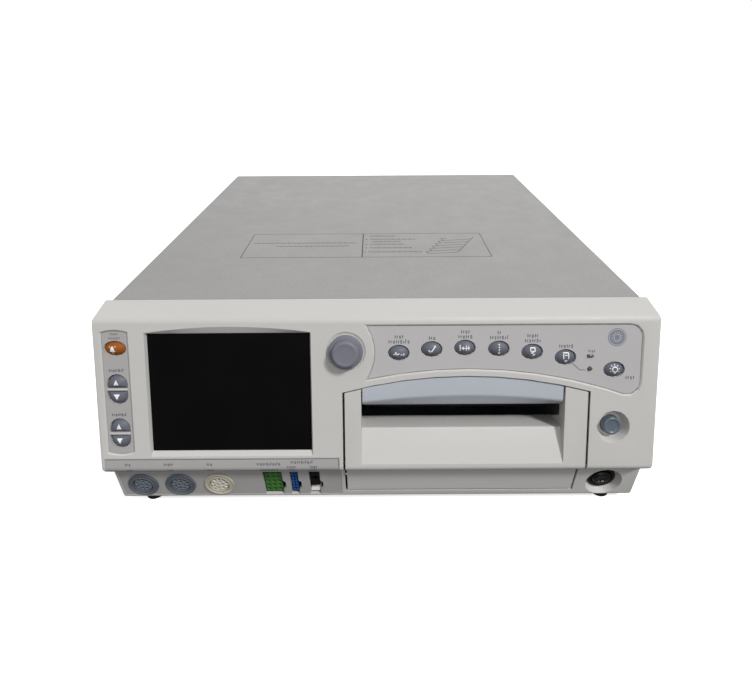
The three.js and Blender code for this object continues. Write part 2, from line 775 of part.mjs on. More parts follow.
function bandSkin(outline, keys, lamps) {
  const keyHolesHere = Object.values(keys).map((key) => grow(key, keyGap));
  const lampHoles = lamps.map((one) => grow(one, seat));
  return prism(inset(outline, seat), -bandInset - skin, -bandInset, [...keyHolesHere, ...lampHoles]);
}

// Keys: a bevelled cap through the face on a wider flange behind it
function keyCap(outline) {
  const flange = grow(outline, keySize.flange);
  const top = inset(outline, keySize.edge);
  const bevelFoot = keySize.proud - keySize.edge;
  return loft(
    [flange, flange, outline, outline, top],
    [keyFlangeFoot, keyFlangeTop, keyFlangeTop, bevelFoot, keySize.proud],
  );
}

function leftBoard() {
  const outline = boxOutline(leftBand.x0, leftBand.x1, leftBand.s0 + board.margin, leftBand.s1);
  return prism(outline, boardTop - board.thickness, boardTop);
}

function rightBoard() {
  const [first, last] = [rightKeys.pressure_key, rightKeys.light_key];
  const reach = keySize.rx + board.margin;
  const rise = keySize.ry + board.margin;
  const top = first.y + keySize.ry + 2 * board.margin;
  const outline = roundedOutline([
    [first.x - reach, first.y - rise],
    [rightKeys.reference_key.x, first.y - rise],
    [domePlace.x - reach, domePlace.y - rise],
    [last.x - reach, last.y - rise],
    [last.x + reach, last.y - rise],
    [last.x + reach, top],
    [first.x - reach, top],
  ]);
  return prism(outline, boardTop - board.thickness, boardTop);
}

function lamp(outline) {
  const top = inset(outline, lampProud);
  return loft([outline, outline, top], [boardTop + seat, -bandInset, lampProud]);
}

// Display window behind the opening, and the module behind the window
const windowTop = -wall - seat;

function displayPlate(margin, from, to) {
  const { x0, x1, s0, s1 } = display;
  return prism(boxOutline(x0 - margin, x1 + margin, s0 - margin, s1 + margin), from, to);
}

// Trim knob: skirt, tapered cap and a round nose edge, hollow behind, bored for its shaft
function trimKnob() {
  const { skirtRadius, capRadius, noseRadius, height: tall } = knob;
  const { skirt, round, back, socket: socketDepth, hollow, hollowDepth } = knobForm;
  const bore = encoder.shaft + screwedGap;
  return turned([
    [0, back + socketDepth],
    [bore, back + socketDepth],
    [bore, back + hollowDepth],
    [hollow, back + hollowDepth],
    [hollow, back],
    [skirtRadius - round / 2, back],
    [skirtRadius, back + round / 2],
    [skirtRadius, back + skirt - round / 2],
    [skirtRadius - round / 2, back + skirt],
    [capRadius, back + skirt],
    [noseRadius, tall - round],
    [noseRadius - round * (1 - Math.SQRT1_2), tall - round * (1 - Math.SQRT1_2)],
    [noseRadius - round, tall],
    [0, tall],
  ]);
}

const encoderBack = -wall - seat - encoder.depth;

function encoderBody() {
  const half = encoder.size / 2;
  const can = solid(prism(boxOutline(-half, half, -half, half, seat), encoderBack, -wall - seat));
  const bushing = solid(turned([
    [0, -wall - encoder.depth / 2],
    [encoder.bushing, -wall - encoder.depth / 2],
    [encoder.bushing, knobForm.back - keyTravel],
    [0, knobForm.back - keyTravel],
  ], keySteps));
  const rotorSpace = encoder.rotor + runningGap;
  const bore = solid(turned([
    [0, overrun],
    [encoder.shaft + runningGap, overrun],
    [encoder.shaft + runningGap, encoderBack + encoder.rotorThickness + runningGap],
    [rotorSpace, encoderBack + encoder.rotorThickness + runningGap],
    [rotorSpace, encoderBack - overrun],
    [0, encoderBack - overrun],
  ], keySteps));
  return cut(join(can, bushing), bore);
}

function encoderRotor() {
  const [inner, outer] = [encoder.shaft + runningGap, encoder.rotor];
  const top = encoderBack + encoder.rotorThickness;
  return turned([
    [inner, encoderBack],
    [outer, encoderBack],
    [outer, top],
    [inner, top],
    [inner, encoderBack],
  ], keySteps);
}

function encoderShaft() {
  const top = knobForm.back + knobForm.socket - seat;
  const tail = encoderBack - encoder.tail;
  return turned([[0, tail], [encoder.shaft, tail], [encoder.shaft, top], [0, top]], keySteps);
}

// Recorder door: the bezel's own skin, cut out, with a scoop, a ledge, cheeks and hinge ears

function scoopSection() {
  const { foot: scoopFoot, ridge, ridgeDepth, ledge } = mouth;
  return roundedOutline([
    [ridge, -ledge],
    [ridge, -ridgeDepth, ridgeRadius],
    [scoopFoot, -screwedGap],
    [scoopFoot - scoopWall, -screwedGap],
    [scoopFoot - scoopWall, -wall],
    [scoopFoot, -wall],
    [ridge - scoopWall, -ridgeDepth - scoopWall],
    [ridge - scoopWall, -ledge],
  ]).reverse();
}

function cheekSection() {
  const { foot: scoopFoot, ridge, ledge, cheekTop, cheekDepth, cheekKnee } = mouth;
  return roundedOutline([
    [scoopFoot - scoopWall, -wall / 2],
    [scoopFoot - scoopWall, -2 * wall],
    [ridge - scoopWall - wall, -ledge],
    [ridge, -ledge],
    [ridge + cheekKnee, -cheekDepth],
    [cheekTop, -cheekDepth, wall],
    [cheekTop, -wall / 2],
  ]).reverse();
}

const keeperX = door.x1 - keeper.inset;

function keeperPlate() {
  const { thickness, width: wide, reach } = keeper;
  const x = keeperX;
  const plate = onFace(block(x, x + thickness, latch.s - wide / 2, latch.s + wide / 2, -reach, -wall / 2));
  const half = bolt.height / 2 + keyGap;
  const eye = block(x - thickness, x + 2 * thickness, latch.s - half, latch.s + half,
    bolt.top - bolt.thickness - keyGap, bolt.top + keyGap);
  return cut(plate, onFace(eye));
}

function recorderDoor() {
  const shell = common(frontShell(), doorRegion(0, 0));
  const mouthOutline = boxOutline(mouth.x0, mouth.x1, mouth.foot, door.apexS + overrun);
  const opening = prism(mouthOutline, -2 * wall, overrun);
  const scoop = acrossFace(prism(scoopSection(), mouth.x0 - mouth.cheek / 2, mouth.x1 + mouth.cheek / 2));
  const cheeks = [mouth.x0 - mouth.cheek, mouth.x1].map((x) => (
    acrossFace(prism(cheekSection(), x, x + mouth.cheek))
  ));
  const ears = doorEars.map((x) => onSide(ear(x)));
  return join(cut(shell, onFace(opening)), scoop, ...cheeks, keeperPlate(), ...ears);
}

// Visor: a hood over the paper slot, its top under the face's arc, its foot folded inwards
function recorderVisor() {
  const { depth: sunk, breakApex, breakFall, foot: visorFoot, footDepth, wall: thick, sideGap } = visor;
  const [x0, x1] = [mouth.x0 + sideGap, mouth.x1 - sideGap];
  const outlines = [];
  const heights = [];
  for (let step = 0; step <= arcSteps; step += 1) {
    const x = x0 + ((x1 - x0) * step) / arcSteps;
    const spread = (x - door.apexX) / ((x1 - x0) / 2);
    const top = archAt(door, x);
    const fold = breakApex - breakFall * spread ** 2;
    const section = roundedOutline([
      [top, -sunk],
      [fold, -sunk],
      [visorFoot, -footDepth],
      [visorFoot, -footDepth - thick / 2],
      [fold + thick / 2, -sunk - thick],
      [top, -sunk - thick],
    ]);
    outlines.push(section);
    heights.push(x);
  }
  return loft(outlines, heights);
}

function hingePin(side) {
  const [x0, x1] = side < 0
    ? [bezelEars[0] - seat, doorEars[0] + hinge.earWidth + seat]
    : [doorEars[1] - seat, bezelEars[1] + hinge.earWidth + seat];
  return prism(ellipse(pinY, hinge.z, hinge.pin, undefined, keySteps), x0, x1);
}

// Release button on a stem whose slanted end meets the bolt's ramp
const rampOffset = latch.x - button.stem - button.tip;

function latchButton() {
  const { radius, top, dome, flange, flangeThickness, stem } = button;
  const cupBack = -latch.cupDepth - latch.floor;
  const reach = button.tip;
  const form = solid(turned([
    [0, reach],
    [stem, reach],
    [stem, cupBack - seat - flangeThickness],
    [radius + flange, cupBack - seat - flangeThickness],
    [radius + flange, cupBack - seat],
    [radius, cupBack - seat],
    [radius, top - dome],
    [radius - dome, top - dome / 4],
    [radius / 2, top],
    [0, top],
  ]).translate(latch.x, latch.s, 0));
  const slant = roundedOutline([
    [latch.x - stem - overrun, reach - overrun],
    [latch.x + stem + overrun, reach - overrun],
    [latch.x + stem + overrun, reach + 2 * stem + overrun],
  ]);
  const wedge = solid(prism(slant, -latch.s - 2 * overrun, -latch.s + 2 * overrun), rampPlane);
  return cut(form, wedge);
}

// Section across the bolt: x, out of the face, down the face
const rampPlane = new THREE.Matrix4().makeBasis(alongX, alongZ, axis(0, -1, 0));

function latchBolt() {
  const { height: tall, top, thickness, rampTop, nose } = bolt;
  const [x0, x1] = [keeperX + keeper.thickness + bolt.gap, latch.x + bolt.reach];
  const rampStart = top + rampOffset + 2 * seat;
  const rampEnd = rampStart + rampTop;
  const outline = roundedOutline([
    [x0, top - thickness],
    [x1, top - thickness],
    [x1, top],
    [rampEnd + nose, top],
    [rampEnd + nose, top + rampTop],
    [rampEnd, top + rampTop],
    [rampStart, top],
    [x0 + nose, top],
    [x0, top - nose],
  ]);
  return prism(outline, -latch.s - tall / 2, -latch.s + tall / 2).applyMatrix4(rampPlane);
}

// Recorder frame: floor, side plates with horns to the visor's bar, and a back
const rollerAt = facePoint(roller.s, -roller.depth);
const motorAt = new THREE.Vector2(gear.module * (gear.teeth + gear.pinionTeeth) / 2, 0)
  .rotateAround(new THREE.Vector2(), THREE.MathUtils.degToRad(gear.angle))
  .add(new THREE.Vector2(rollerAt.y, rollerAt.z));
const frameFoot = baseHeight + wall + seat;
const frameTop = rollerAt.z + frameHeights.top;
const [frameNear, frameFar] = [front + frameDepths.near, front + frameDepths.far];

function sidePlate(x0) {
  const hornFoot = facePoint(roller.s, -wall - frameBar.thickness / 2);
  const hornTop = facePoint(frameBar.s1, -wall - frameBar.thickness / 2);
  const outline = roundedOutline([
    [frameNear, frameFoot],
    [frameFar, frameFoot],
    [frameFar, frameTop],
    [hornTop.y + 2 * overrun, hornTop.z],
    [hornTop.y, hornTop.z],
    [hornFoot.y, hornFoot.z],
    [frameNear, rollerAt.z - frameHeights.knee],
  ]).reverse();
  const shaftHole = ellipse(rollerAt.y, rollerAt.z, roller.shaft + runningGap, undefined, keySteps);
  const motorHole = ellipse(motorAt.x, motorAt.y, gear.shaft + keyGap, undefined, keySteps);
  return onSide(prism(outline, x0, x0 + frame.plate, [shaftHole, motorHole]));
}

function recorderFrame() {
  const { x0, x1, plate, floor } = frame;
  const base = solid(block(x0, x1, frameNear, frameFar, frameFoot, frameFoot + floor));
  const back = solid(block(x0, x1, frameFar - plate, frameFar, frameFoot, frameTop));
  const behindVisor = -visor.depth - visor.wall - seat;
  const { s0, s1, thickness } = frameBar;
  const bar = onFace(block(x0, x1, s0, s1, behindVisor - thickness, behindVisor));
  return join(base, back, bar, sidePlate(x0), sidePlate(x1 - plate));
}

function platenRoller() {
  const tail = frame.x0 - roller.tail;
  const far = frame.x1 + seat + gear.width + seat;
  return turned([
    [0, tail],
    [roller.shaft, tail],
    [roller.shaft, mouth.x0 + roller.margin],
    [roller.radius, mouth.x0 + roller.margin],
    [roller.radius, mouth.x1 - roller.margin],
    [roller.shaft, mouth.x1 - roller.margin],
    [roller.shaft, far],
    [0, far],
  ]).applyMatrix4(sidePlane).translate(0, rollerAt.y, rollerAt.z);
}

function gearOutline(teeth, centre, phase) {
  const pitchRadius = (gear.module * teeth) / 2;
  const tip = pitchRadius + toothShares.tip * gear.module;
  const root = pitchRadius - toothShares.root * gear.module;
  const step = (2 * Math.PI) / teeth;
  const halfTooth = step / 4 - gear.backlash / 2 / pitchRadius;
  const points = [];
  for (let tooth = 0; tooth < teeth; tooth += 1) {
    const middle = phase + tooth * step;
    const { crest, base } = toothShares;
    const flanks = [[root, -base], [tip, -crest], [tip, crest], [root, base]];
    for (const [radius, share] of flanks) {
      const point = centre.clone().add(new THREE.Vector2(radius, 0));
      points.push(point.rotateAround(centre, middle + share * halfTooth));
    }
  }
  return points;
}

const gearPhase = THREE.MathUtils.degToRad(gear.angle);
const gearStart = frame.x1 + seat;

function driveGear() {
  const centre = new THREE.Vector2(rollerAt.y, rollerAt.z);
  const bore = ellipse(centre.x, centre.y, roller.shaft + screwedGap, undefined, facetSteps);
  return prism(gearOutline(gear.teeth, centre, gearPhase), gearStart, gearStart + gear.width, [bore]);
}

function motorPinion() {
  const phase = gearPhase + Math.PI + Math.PI / gear.pinionTeeth;
  const wheel = prism(gearOutline(gear.pinionTeeth, motorAt, phase), gearStart, gearStart + gear.width);
  const spindle = ellipse(motorAt.x, motorAt.y, gear.shaft, undefined, keySteps);
  const shaft = prism(spindle, frame.x1 - frame.plate - motor.length / 2, gearStart + gear.width / 2);
  return join(onSide(wheel), onSide(shaft));
}

function recorderMotor() {
  const x1 = frame.x1 - frame.plate - seat;
  const can = prism(ellipse(motorAt.x, motorAt.y, motor.radius), x1 - motor.length, x1);
  const bore = ellipse(motorAt.x, motorAt.y, gear.shaft + runningGap, undefined, keySteps);
  return cut(onSide(can), onSide(prism(bore, x1 - motor.length / 2 - seat, x1 + overrun)));
}

function printHead() {
  const { depth: deep, height: tall, nose, foot: headFoot } = head;
  const low = rollerAt.z + roller.radius + seat;
  const outline = roundedOutline([
    [rollerAt.y - nose / 2, low],
    [rollerAt.y + nose / 2, low],
    [rollerAt.y + deep - headFoot, low + nose],
    [rollerAt.y + deep - headFoot, low + tall],
    [rollerAt.y - headFoot, low + tall],
    [rollerAt.y - headFoot, low + nose],
  ]);
  return onSide(prism(outline, frame.x0 + frame.plate + seat, frame.x1 - frame.plate - seat));
}

// Round transducer socket: flanged shell round an insert with pin holes
function transducerSocket(x) {
  const { flange, barrel, bore, insert, proud, length } = socket;
  const { well, pinHole, pinDepth, round, insertDepth } = socketForm;
  const seatLevel = seat - skinInset;
  const shell = solid(turned([
    [0, -length],
    [barrel, -length],
    [barrel, seatLevel],
    [flange, seatLevel],
    [flange, proud - round],
    [flange - round, proud],
    [bore + round, proud],
    [bore, proud - round],
    [bore, -well],
    [insert, -well],
    [insert, -insertDepth],
    [0, -insertDepth],
  ]));
  const pinHoles = ({ count, radius }) => Array.from({ length: count }, (_, index) => {
    const angle = quarter + (2 * Math.PI * index) / count;
    const hole = ellipse(radius * Math.cos(angle), radius * Math.sin(angle), pinHole, pinHole, pinSteps);
    return solid(prism(hole, -insertDepth - pinDepth, 0));
  });
  const holes = [...pinHoles(innerPins), ...pinHoles(outerPins)];
  return geometryOf(cut(shell, ...holes)).translate(x, socketHeight, 0);
}

// Rectangular socket with its own field of contact holes
function slotSocket(x0, x1, holes) {
  const { s0, s1, front: face, length, ledge } = slots;
  const body = prism(boxOutline(x0 + seat, x1 - seat, s0 + ledge, s1 - seat), face - length, face);
  const cutters = holes.map((hole) => solid(prism(hole, face - slotHole.depth, face + overrun)));
  return cut(solid(body), ...cutters);
}

function holeField(x0, x1, columns, rows, radius) {
  const { s0, s1, ledge } = slots;
  const field = [];
  for (let column = 0; column < columns; column += 1) {
    for (let row = 0; row < rows; row += 1) {
      const x = x0 + ((x1 - x0) * (2 * column + 1)) / (2 * columns);
      const s = s0 + ledge + ((s1 - s0 - ledge) * (2 * row + 1)) / (2 * rows);
      field.push(ellipse(x, s, radius, radius, pinSteps));
    }
  }
  return field;
}

function cuffHole(x0, x1) {
  const { cuffMargin, cuffFoot } = slotHole;
  const [low, high] = [slots.s0 + slots.ledge + cuffFoot, slots.s1 - seat - cuffMargin];
  return boxOutline(x0 + seat + cuffMargin, x1 - seat - cuffMargin, low, high);
}

// Power switch: ring and barrel through the cup's floor, and a round rocker tilted in it
const powerX = latch.x + power.offset;
const switchFace = -power.cupDepth + seat;

function switchBody() {
  const { ring, ringThickness, barrel, length } = switchForm;
  const { radius, thickness } = rocker;
  const top = switchFace + ringThickness;
  const bore = radius + keyGap;
  return turned([
    [0, top - length],
    [barrel, top - length],
    [barrel, switchFace],
    [ring, switchFace],
    [ring, top],
    [bore, top],
    [bore, top - thickness - wall],
    [0, top - thickness - wall],
  ]);
}

function switchRocker() {
  const { radius, thickness, tilt } = rocker;
  const top = switchFace + switchForm.ringThickness;
  const angle = THREE.MathUtils.degToRad(tilt);
  const waist = radius * Math.cos(2 * angle);
  const drum = turned([
    [0, -thickness / 2],
    [radius - wall / 2, -thickness / 2],
    [waist, 0],
    [waist, thickness / 4],
    [radius - wall / 2, thickness / 2],
    [0, thickness / 2],
  ]);
  return drum.rotateX(angle).translate(powerX, power.s, top - thickness / 4);
}

function rubberFoot() {
  const { radius, topRadius, stud: studRadius, round } = foot;
  const top = baseHeight - seat;
  return turned([
    [0, 0],
    [radius - round, 0],
    [radius, round],
    [topRadius, top],
    [studRadius, top],
    [studRadius, baseHeight + wall + round],
    [0, baseHeight + wall + round],
  ], keySteps);
}

// Folded top cover, tray and rear panel

function topCover() {
  const sheetOutline = (drawnIn, footHeight) => roundedOutline([
    [drawnIn - coverHalf, footHeight],
    [coverHalf - drawnIn, footHeight],
    [coverHalf - drawnIn, height - drawnIn, bendRadius - drawnIn],
    [drawnIn - coverHalf, height - drawnIn, bendRadius - drawnIn],
  ]);
  const outer = prism(sheetOutline(0, baseHeight), trayFront, rear);
  const inner = prism(sheetOutline(sheet, baseHeight - overrun), trayFront - overrun, rear + overrun);
  return cut(solid(outer, rearPlane), solid(inner, rearPlane));
}

const trayFront = front + seamDepth + seamGap;
const trayBack = rear - panelInset - sheet - seat;
const trayFloor = baseHeight + sheet;

function grille() {
  const { radius, pitch, rings } = grilleHole;
  const holes = [];
  for (let row = -rings; row <= rings; row += 1) {
    for (let column = -rings; column <= rings; column += 1) {
      const hole = ellipse(speakerX + column * pitch, speakerY + row * pitch, radius, radius, postSteps);
      holes.push(solid(prism(hole, 0, baseHeight + overrun)));
    }
  }
  return holes;
}

const boardSides = [leftSide + mainBoard.inset, across(boardShare)];
const boardEnds = [front + mainBoard.frontInset, rear - mainBoard.rearInset];
const speakerY = rear - speaker.rearInset;

function trayPost(x, y, top) {
  const outline = ellipse(x, y, standoff.radius, undefined, postSteps);
  return solid(prism(outline, baseHeight + sheet / 2, top));
}

function chassisTray() {
  const rim = baseHeight + trayWall;
  const [halfInner, wallInside] = [sheetInside - sheet, trayFront + sheet];
  const outer = solid(block(-sheetInside, sheetInside, trayFront, trayBack, baseHeight, rim));
  const inner = solid(block(-halfInner, halfInner, wallInside, trayBack - sheet, trayFloor, rim + overrun));
  const { inset: margin } = standoff;
  const posts = [boardSides[0] + margin, boardSides[1] - margin].flatMap((x) => (
    [boardEnds[0] + margin, boardEnds[1] - margin].map((y) => trayPost(x, y, trayFloor + standoff.height))
  ));
  const pads = [frame.x0 + padInset.side, frame.x1 - padInset.side].map((x) => (
    trayPost(x, frameFar - padInset.rear, frameFoot - seat)
  ));
  const [door0, door1] = [frame.x0 - 2 * wall, frame.x1 + 2 * wall];
  const doorway = solid(block(door0, door1, trayFront - overrun, trayFront + overrun, trayFloor, height));
  const pan = join(cut(outer, inner), ...posts, ...pads);
  return cut(pan, doorway, ...grille(), ...footHoles(footRows.rear));
}

function rearPanel() {
  const outline = roundedOutline([
    [-sheetInside, baseHeight],
    [sheetInside, baseHeight],
    [sheetInside, height - sheet - seat, bendRadius - sheet],
    [-sheetInside, height - sheet - seat, bendRadius - sheet],
  ]);
  const holes = [
    centredOutline(-inlet.x, inlet.z, inlet.width + 2 * seat, inlet.height + 2 * seat),
    centredOutline(-port.x, port.z, port.width + 2 * seat, port.height + 2 * seat),
    ellipse(-stud.x, stud.z, stud.radius + seat, undefined, keySteps),
  ];
  const { count, width: wide, height: tall, pitch, x: ventX, z: ventZ } = ventSlot;
  for (let index = 0; index < count; index += 1) {
    holes.push(centredOutline((index - (count - 1) / 2) * pitch - ventX, ventZ, wide, tall));
  }
  const cutters = holes.map((hole) => solid(prism(hole, -sheet - overrun, overrun)));
  return cut(solid(prism(outline, -sheet, 0)), ...cutters);
}

// Mains inlet: flange outside the panel, a well with three flat pins
function mainsInlet() {
  const { width: wide, height: tall, flangeWidth, flangeHeight, depth: deep } = inlet;
  const { flange, wall: thick, well, earth } = inletForm;
  const { length: pin, width: pinWidth, height: pinHeight, pitch } = inletPin;
  const plate = solid(prism(centredOutline(0, 0, flangeWidth, flangeHeight, thick), seat, seat + flange));
  const body = solid(prism(centredOutline(0, 0, wide, tall), -deep, seat + flange / 2));
  const [inW, inH] = [wide / 2 - thick, tall / 2 - thick];
  const mouthOutline = roundedOutline([
    [-inW, -inH],
    [inW, -inH],
    [inW, inH - earth],
    [inW - earth, inH],
    [earth - inW, inH],
    [-inW, inH - earth],
  ]);
  const top = seat + flange;
  const hollow = solid(prism(mouthOutline, top - well, top + overrun));
  const pins = [[-pitch, -earth / 2], [pitch, -earth / 2], [0, earth / 2]].map(([x, z]) => (
    solid(prism(centredOutline(x, z, pinWidth, pinHeight), top - well - thick / 2, top - well + pin))
  ));
  const whole = join(cut(join(plate, body), hollow), ...pins);
  return geometryOf(whole).translate(-inlet.x, inlet.z, 0);
}

function earthStud() {
  const { radius, nut, nutThickness, length, tail } = stud;
  const shaft = prism(ellipse(0, 0, radius, radius, keySteps), -sheet - tail, length);
  const nutBody = prism(ellipse(0, 0, nut, nut, nutSides), seat, seat + nutThickness);
  return geometryOf(join(solid(shaft), solid(nutBody))).translate(-stud.x, stud.z, 0);
}

function dataPort() {
  const { width: wide, height: tall, flangeWidth, flangeHeight, depth: deep } = port;
  const { flange, proud, slant, wall: thick, corner } = portForm;
  const shellOutline = (drawnIn) => {
    const [w, h] = [wide / 2 - drawnIn, tall / 2 - drawnIn];
    const corners = [[slant - w, -h], [w - slant, -h], [w, h], [-w, h]];
    return roundedOutline(corners.map(([x, z]) => [x, z, corner]));
  };
  const plate = solid(prism(centredOutline(0, 0, flangeWidth, flangeHeight), seat, seat + flange));
  const body = solid(prism(shellOutline(0), -deep, seat + proud));
  const hollow = solid(prism(shellOutline(thick), seat + flange, seat + proud + overrun));
  const contacts = solid(prism(shellOutline(3 * thick), seat + flange / 2, seat + proud - thick));
  return geometryOf(join(cut(join(plate, body), hollow), contacts)).translate(-port.x, port.z, 0);
}

// Inside: board, supply, pump and speaker, each standing on the tray

function mainBoardBody() {
  const [[x0, x1], [y0, y1]] = [boardSides, boardEnds];
  const [wide, deep] = [x1 - x0, y1 - y0];
  const z0 = trayFloor + standoff.height + seat;
  const z1 = z0 + mainBoard.thickness;
  const part = ([xShare, yShare, wideShare, deepShare], tall) => {
    const [x, y] = [x0 + xShare * wide, y0 + yShare * deep];
    const outline = centredOutline(x, y, wideShare * wide, deepShare * deep);
    return solid(prism(outline, (z0 + z1) / 2, z1 + tall));
  };
  const plate = solid(block(x0, x1, y0, y1, z0, z1));
  const parts = chipShares.map((shares) => part(shares, chipHeight));
  return join(plate, ...parts, part(shieldShares, shieldHeight));
}

function powerSupply() {
  const { inset: fromSide, width: wide, rearInset, length, height: tall, lip, wall: thick } = supply;
  const [x1, y1, z0] = [rightSide - fromSide, rear - rearInset, trayFloor + seat];
  const [x0, y0] = [x1 - wide, y1 - length];
  const body = solid(block(x0, x1, y0, y1, z0, z0 + tall));
  const trough = block(x0 + lip, x1 - lip, y0 + lip, y1 - lip, z0 + tall - thick, z0 + tall + thick);
  return cut(body, solid(trough));
}

function cuffPump() {
  const { rearInset, radius, length, base, port: portRadius } = pump;
  const z0 = trayFloor + seat;
  const middle = z0 + radius + portRadius;
  const hoseTop = middle + radius + 2 * portRadius;
  const y = rear - rearInset;
  const saddle = solid(prism(centredOutline(0, y, base, base), z0, middle));
  const round = ellipse(0, middle, radius, undefined, keySteps);
  const can = solid(prism(round, y - length / 2, y + length / 2), rearPlane);
  const hose = solid(prism(ellipse(0, y, portRadius, undefined, postSteps), middle, hoseTop));
  return join(saddle, can, hose);
}

function speakerBody() {
  const { radius, cone, magnet, height: tall, rim } = speaker;
  return turned([
    [0, rim],
    [magnet / 2, rim],
    [radius - rim, 0],
    [radius, 0],
    [radius, rim],
    [cone, tall / 2],
    [magnet, tall / 2],
    [magnet, tall],
    [0, tall],
  ]).translate(speakerX, speakerY, trayFloor + seat);
}

// Materials

function finish(color, roughness, metalness = 0) {
  return new THREE.MeshStandardMaterial({ color, roughness, metalness });
}

const offWhite = finish(0xdad8d4, 0.55);
const coverGrey = finish(0xa9a8a9, 0.6);
const bandGrey = finish(0xb3b6bb, 0.5);
const slate = finish(0x777d86, 0.5);
const visorGrey = finish(0xa4aab4, 0.4);
const black = finish(0x17171a, 0.35);
const rubber = finish(0x1d1d1e, 0.9);
const steel = finish(0xb9bcc0, 0.35, 1);
const boardGreen = finish(0x2f6a45, 0.6);
const amber = finish(0xd8772b, 0.5);
const greenPlastic = finish(0x4c7f3a, 0.5);
const bluePlastic = finish(0x2f66b0, 0.5);
const ivory = finish(0xd9d3c3, 0.5);
const lens = finish(0x9fb58e, 0.25);

// Assembly

const model = new THREE.Group();
const face = new THREE.Group();
const chin = new THREE.Group();
const back = new THREE.Group();
face.applyMatrix4(facePlane);
chin.applyMatrix4(chinPlane);
back.applyMatrix4(backFace);
model.add(face, chin, back);

function add(group, name, form, material) {
  const geometry = form.isBufferGeometry ? form : geometryOf(form);
  const mesh = new THREE.Mesh(geometry, material);
  mesh.name = name;
  group.add(mesh);
  return mesh;
}

add(model, 'front_bezel', frontBezel(), offWhite);
add(model, 'top_cover', topCover(), coverGrey);
add(model, 'chassis_tray', chassisTray(), steel);
add(back, 'rear_panel', rearPanel(), steel);
add(model, 'connector_overlay', connectorOverlay(), bandGrey);
add(face, 'left_keypad_overlay', bandSkin(leftBandOutline, leftKeyOutlines, []), bandGrey);
const rightSkin = bandSkin(rightBandOutline(), rightKeyOutlines, Object.values(lampOutlines));
add(face, 'right_keypad_overlay', rightSkin, bandGrey);
add(face, 'left_key_board', leftBoard(), boardGreen);
add(face, 'right_key_board', rightBoard(), boardGreen);
for (const [name, outline] of Object.entries(lampOutlines)) add(face, name, lamp(outline), lens);
for (const [name, outline] of Object.entries(leftKeyOutlines)) {
  add(face, name, keyCap(outline), name === 'alarm_key' ? amber : slate);
}
for (const [name, outline] of Object.entries(rightKeyOutlines)) add(face, name, keyCap(outline), slate);

add(face, 'display_window', displayPlate(display.margin, windowTop - display.glass, windowTop), black);
const moduleTop = windowTop - display.glass - seat;
add(face, 'display_module', displayPlate(display.moduleMargin, moduleTop - moduleDepth, moduleTop), steel);

const knobParts = [
  ['trim_knob', trimKnob(), slate],
  ['encoder_body', encoderBody(), steel],
  ['encoder_rotor', encoderRotor(), ivory],
  ['encoder_shaft', encoderShaft(), steel],
];
for (const [name, form, material] of knobParts) {
  add(face, name, form, material).position.set(knob.x, knob.s, 0);
}

add(model, 'recorder_door', recorderDoor(), offWhite);
add(model, 'recorder_visor', recorderVisor().applyMatrix4(faceSection), visorGrey);
add(model, 'door_hinge_pin_left', hingePin(-1).applyMatrix4(sidePlane), steel);
add(model, 'door_hinge_pin_right', hingePin(1).applyMatrix4(sidePlane), steel);
add(face, 'release_button', latchButton(), visorGrey);
add(face, 'latch_bolt', latchBolt(), steel);
add(model, 'recorder_frame', recorderFrame(), steel);
add(model, 'platen_roller', platenRoller(), rubber);
add(model, 'drive_gear', driveGear().applyMatrix4(sidePlane), ivory);
add(model, 'motor_pinion', motorPinion(), steel);
add(model, 'recorder_motor', recorderMotor(), black);
add(model, 'print_head', printHead(), black);

const socketLooks = [slate, slate, ivory];
socketShares.forEach((share, index) => {
  add(chin, `transducer_socket_${index + 1}`, transducerSocket(across(share)), socketLooks[index]);
});
const [scalp, oximetry, cuff] = Object.keys(slotShares).map(slotSides);
const scalpHoles = holeField(...scalp, 3, 4, slotHole.scalp);
const oximetryHoles = holeField(...oximetry, 2, 6, slotHole.oximetry);
add(chin, 'scalp_socket', slotSocket(...scalp, scalpHoles), greenPlastic);
add(chin, 'oximetry_socket', slotSocket(...oximetry, oximetryHoles), bluePlastic);
add(chin, 'cuff_socket', slotSocket(...cuff, [cuffHole(...cuff)]), black);
add(chin, 'power_switch_body', switchBody(), black).position.set(powerX, power.s, 0);
add(chin, 'power_rocker', switchRocker(), black);

for (const [row, y] of Object.entries(footRows)) {
  for (const [side, x] of Object.entries(footSides)) {
    add(model, `foot_${row}_${side}`, rubberFoot(), rubber).position.set(x, y, 0);
  }
}

add(back, 'mains_inlet', mainsInlet(), black);
add(back, 'earth_stud', earthStud(), steel);
add(back, 'data_port', dataPort(), steel);
add(model, 'main_board', mainBoardBody(), boardGreen);
add(model, 'power_supply', powerSupply(), steel);
add(model, 'cuff_pump', cuffPump(), steel);
add(model, 'speaker', speakerBody(), black);

export default model;
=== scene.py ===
"""Looks of the cardiotocograph: camera, light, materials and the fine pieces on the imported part.

Lengths are in millimetres until a mesh is made. Face, chin and back each have their own plane:
x along the part, y up the plane, z out of it.
"""

import json
import math

import bpy
from mathutils import Matrix, Vector


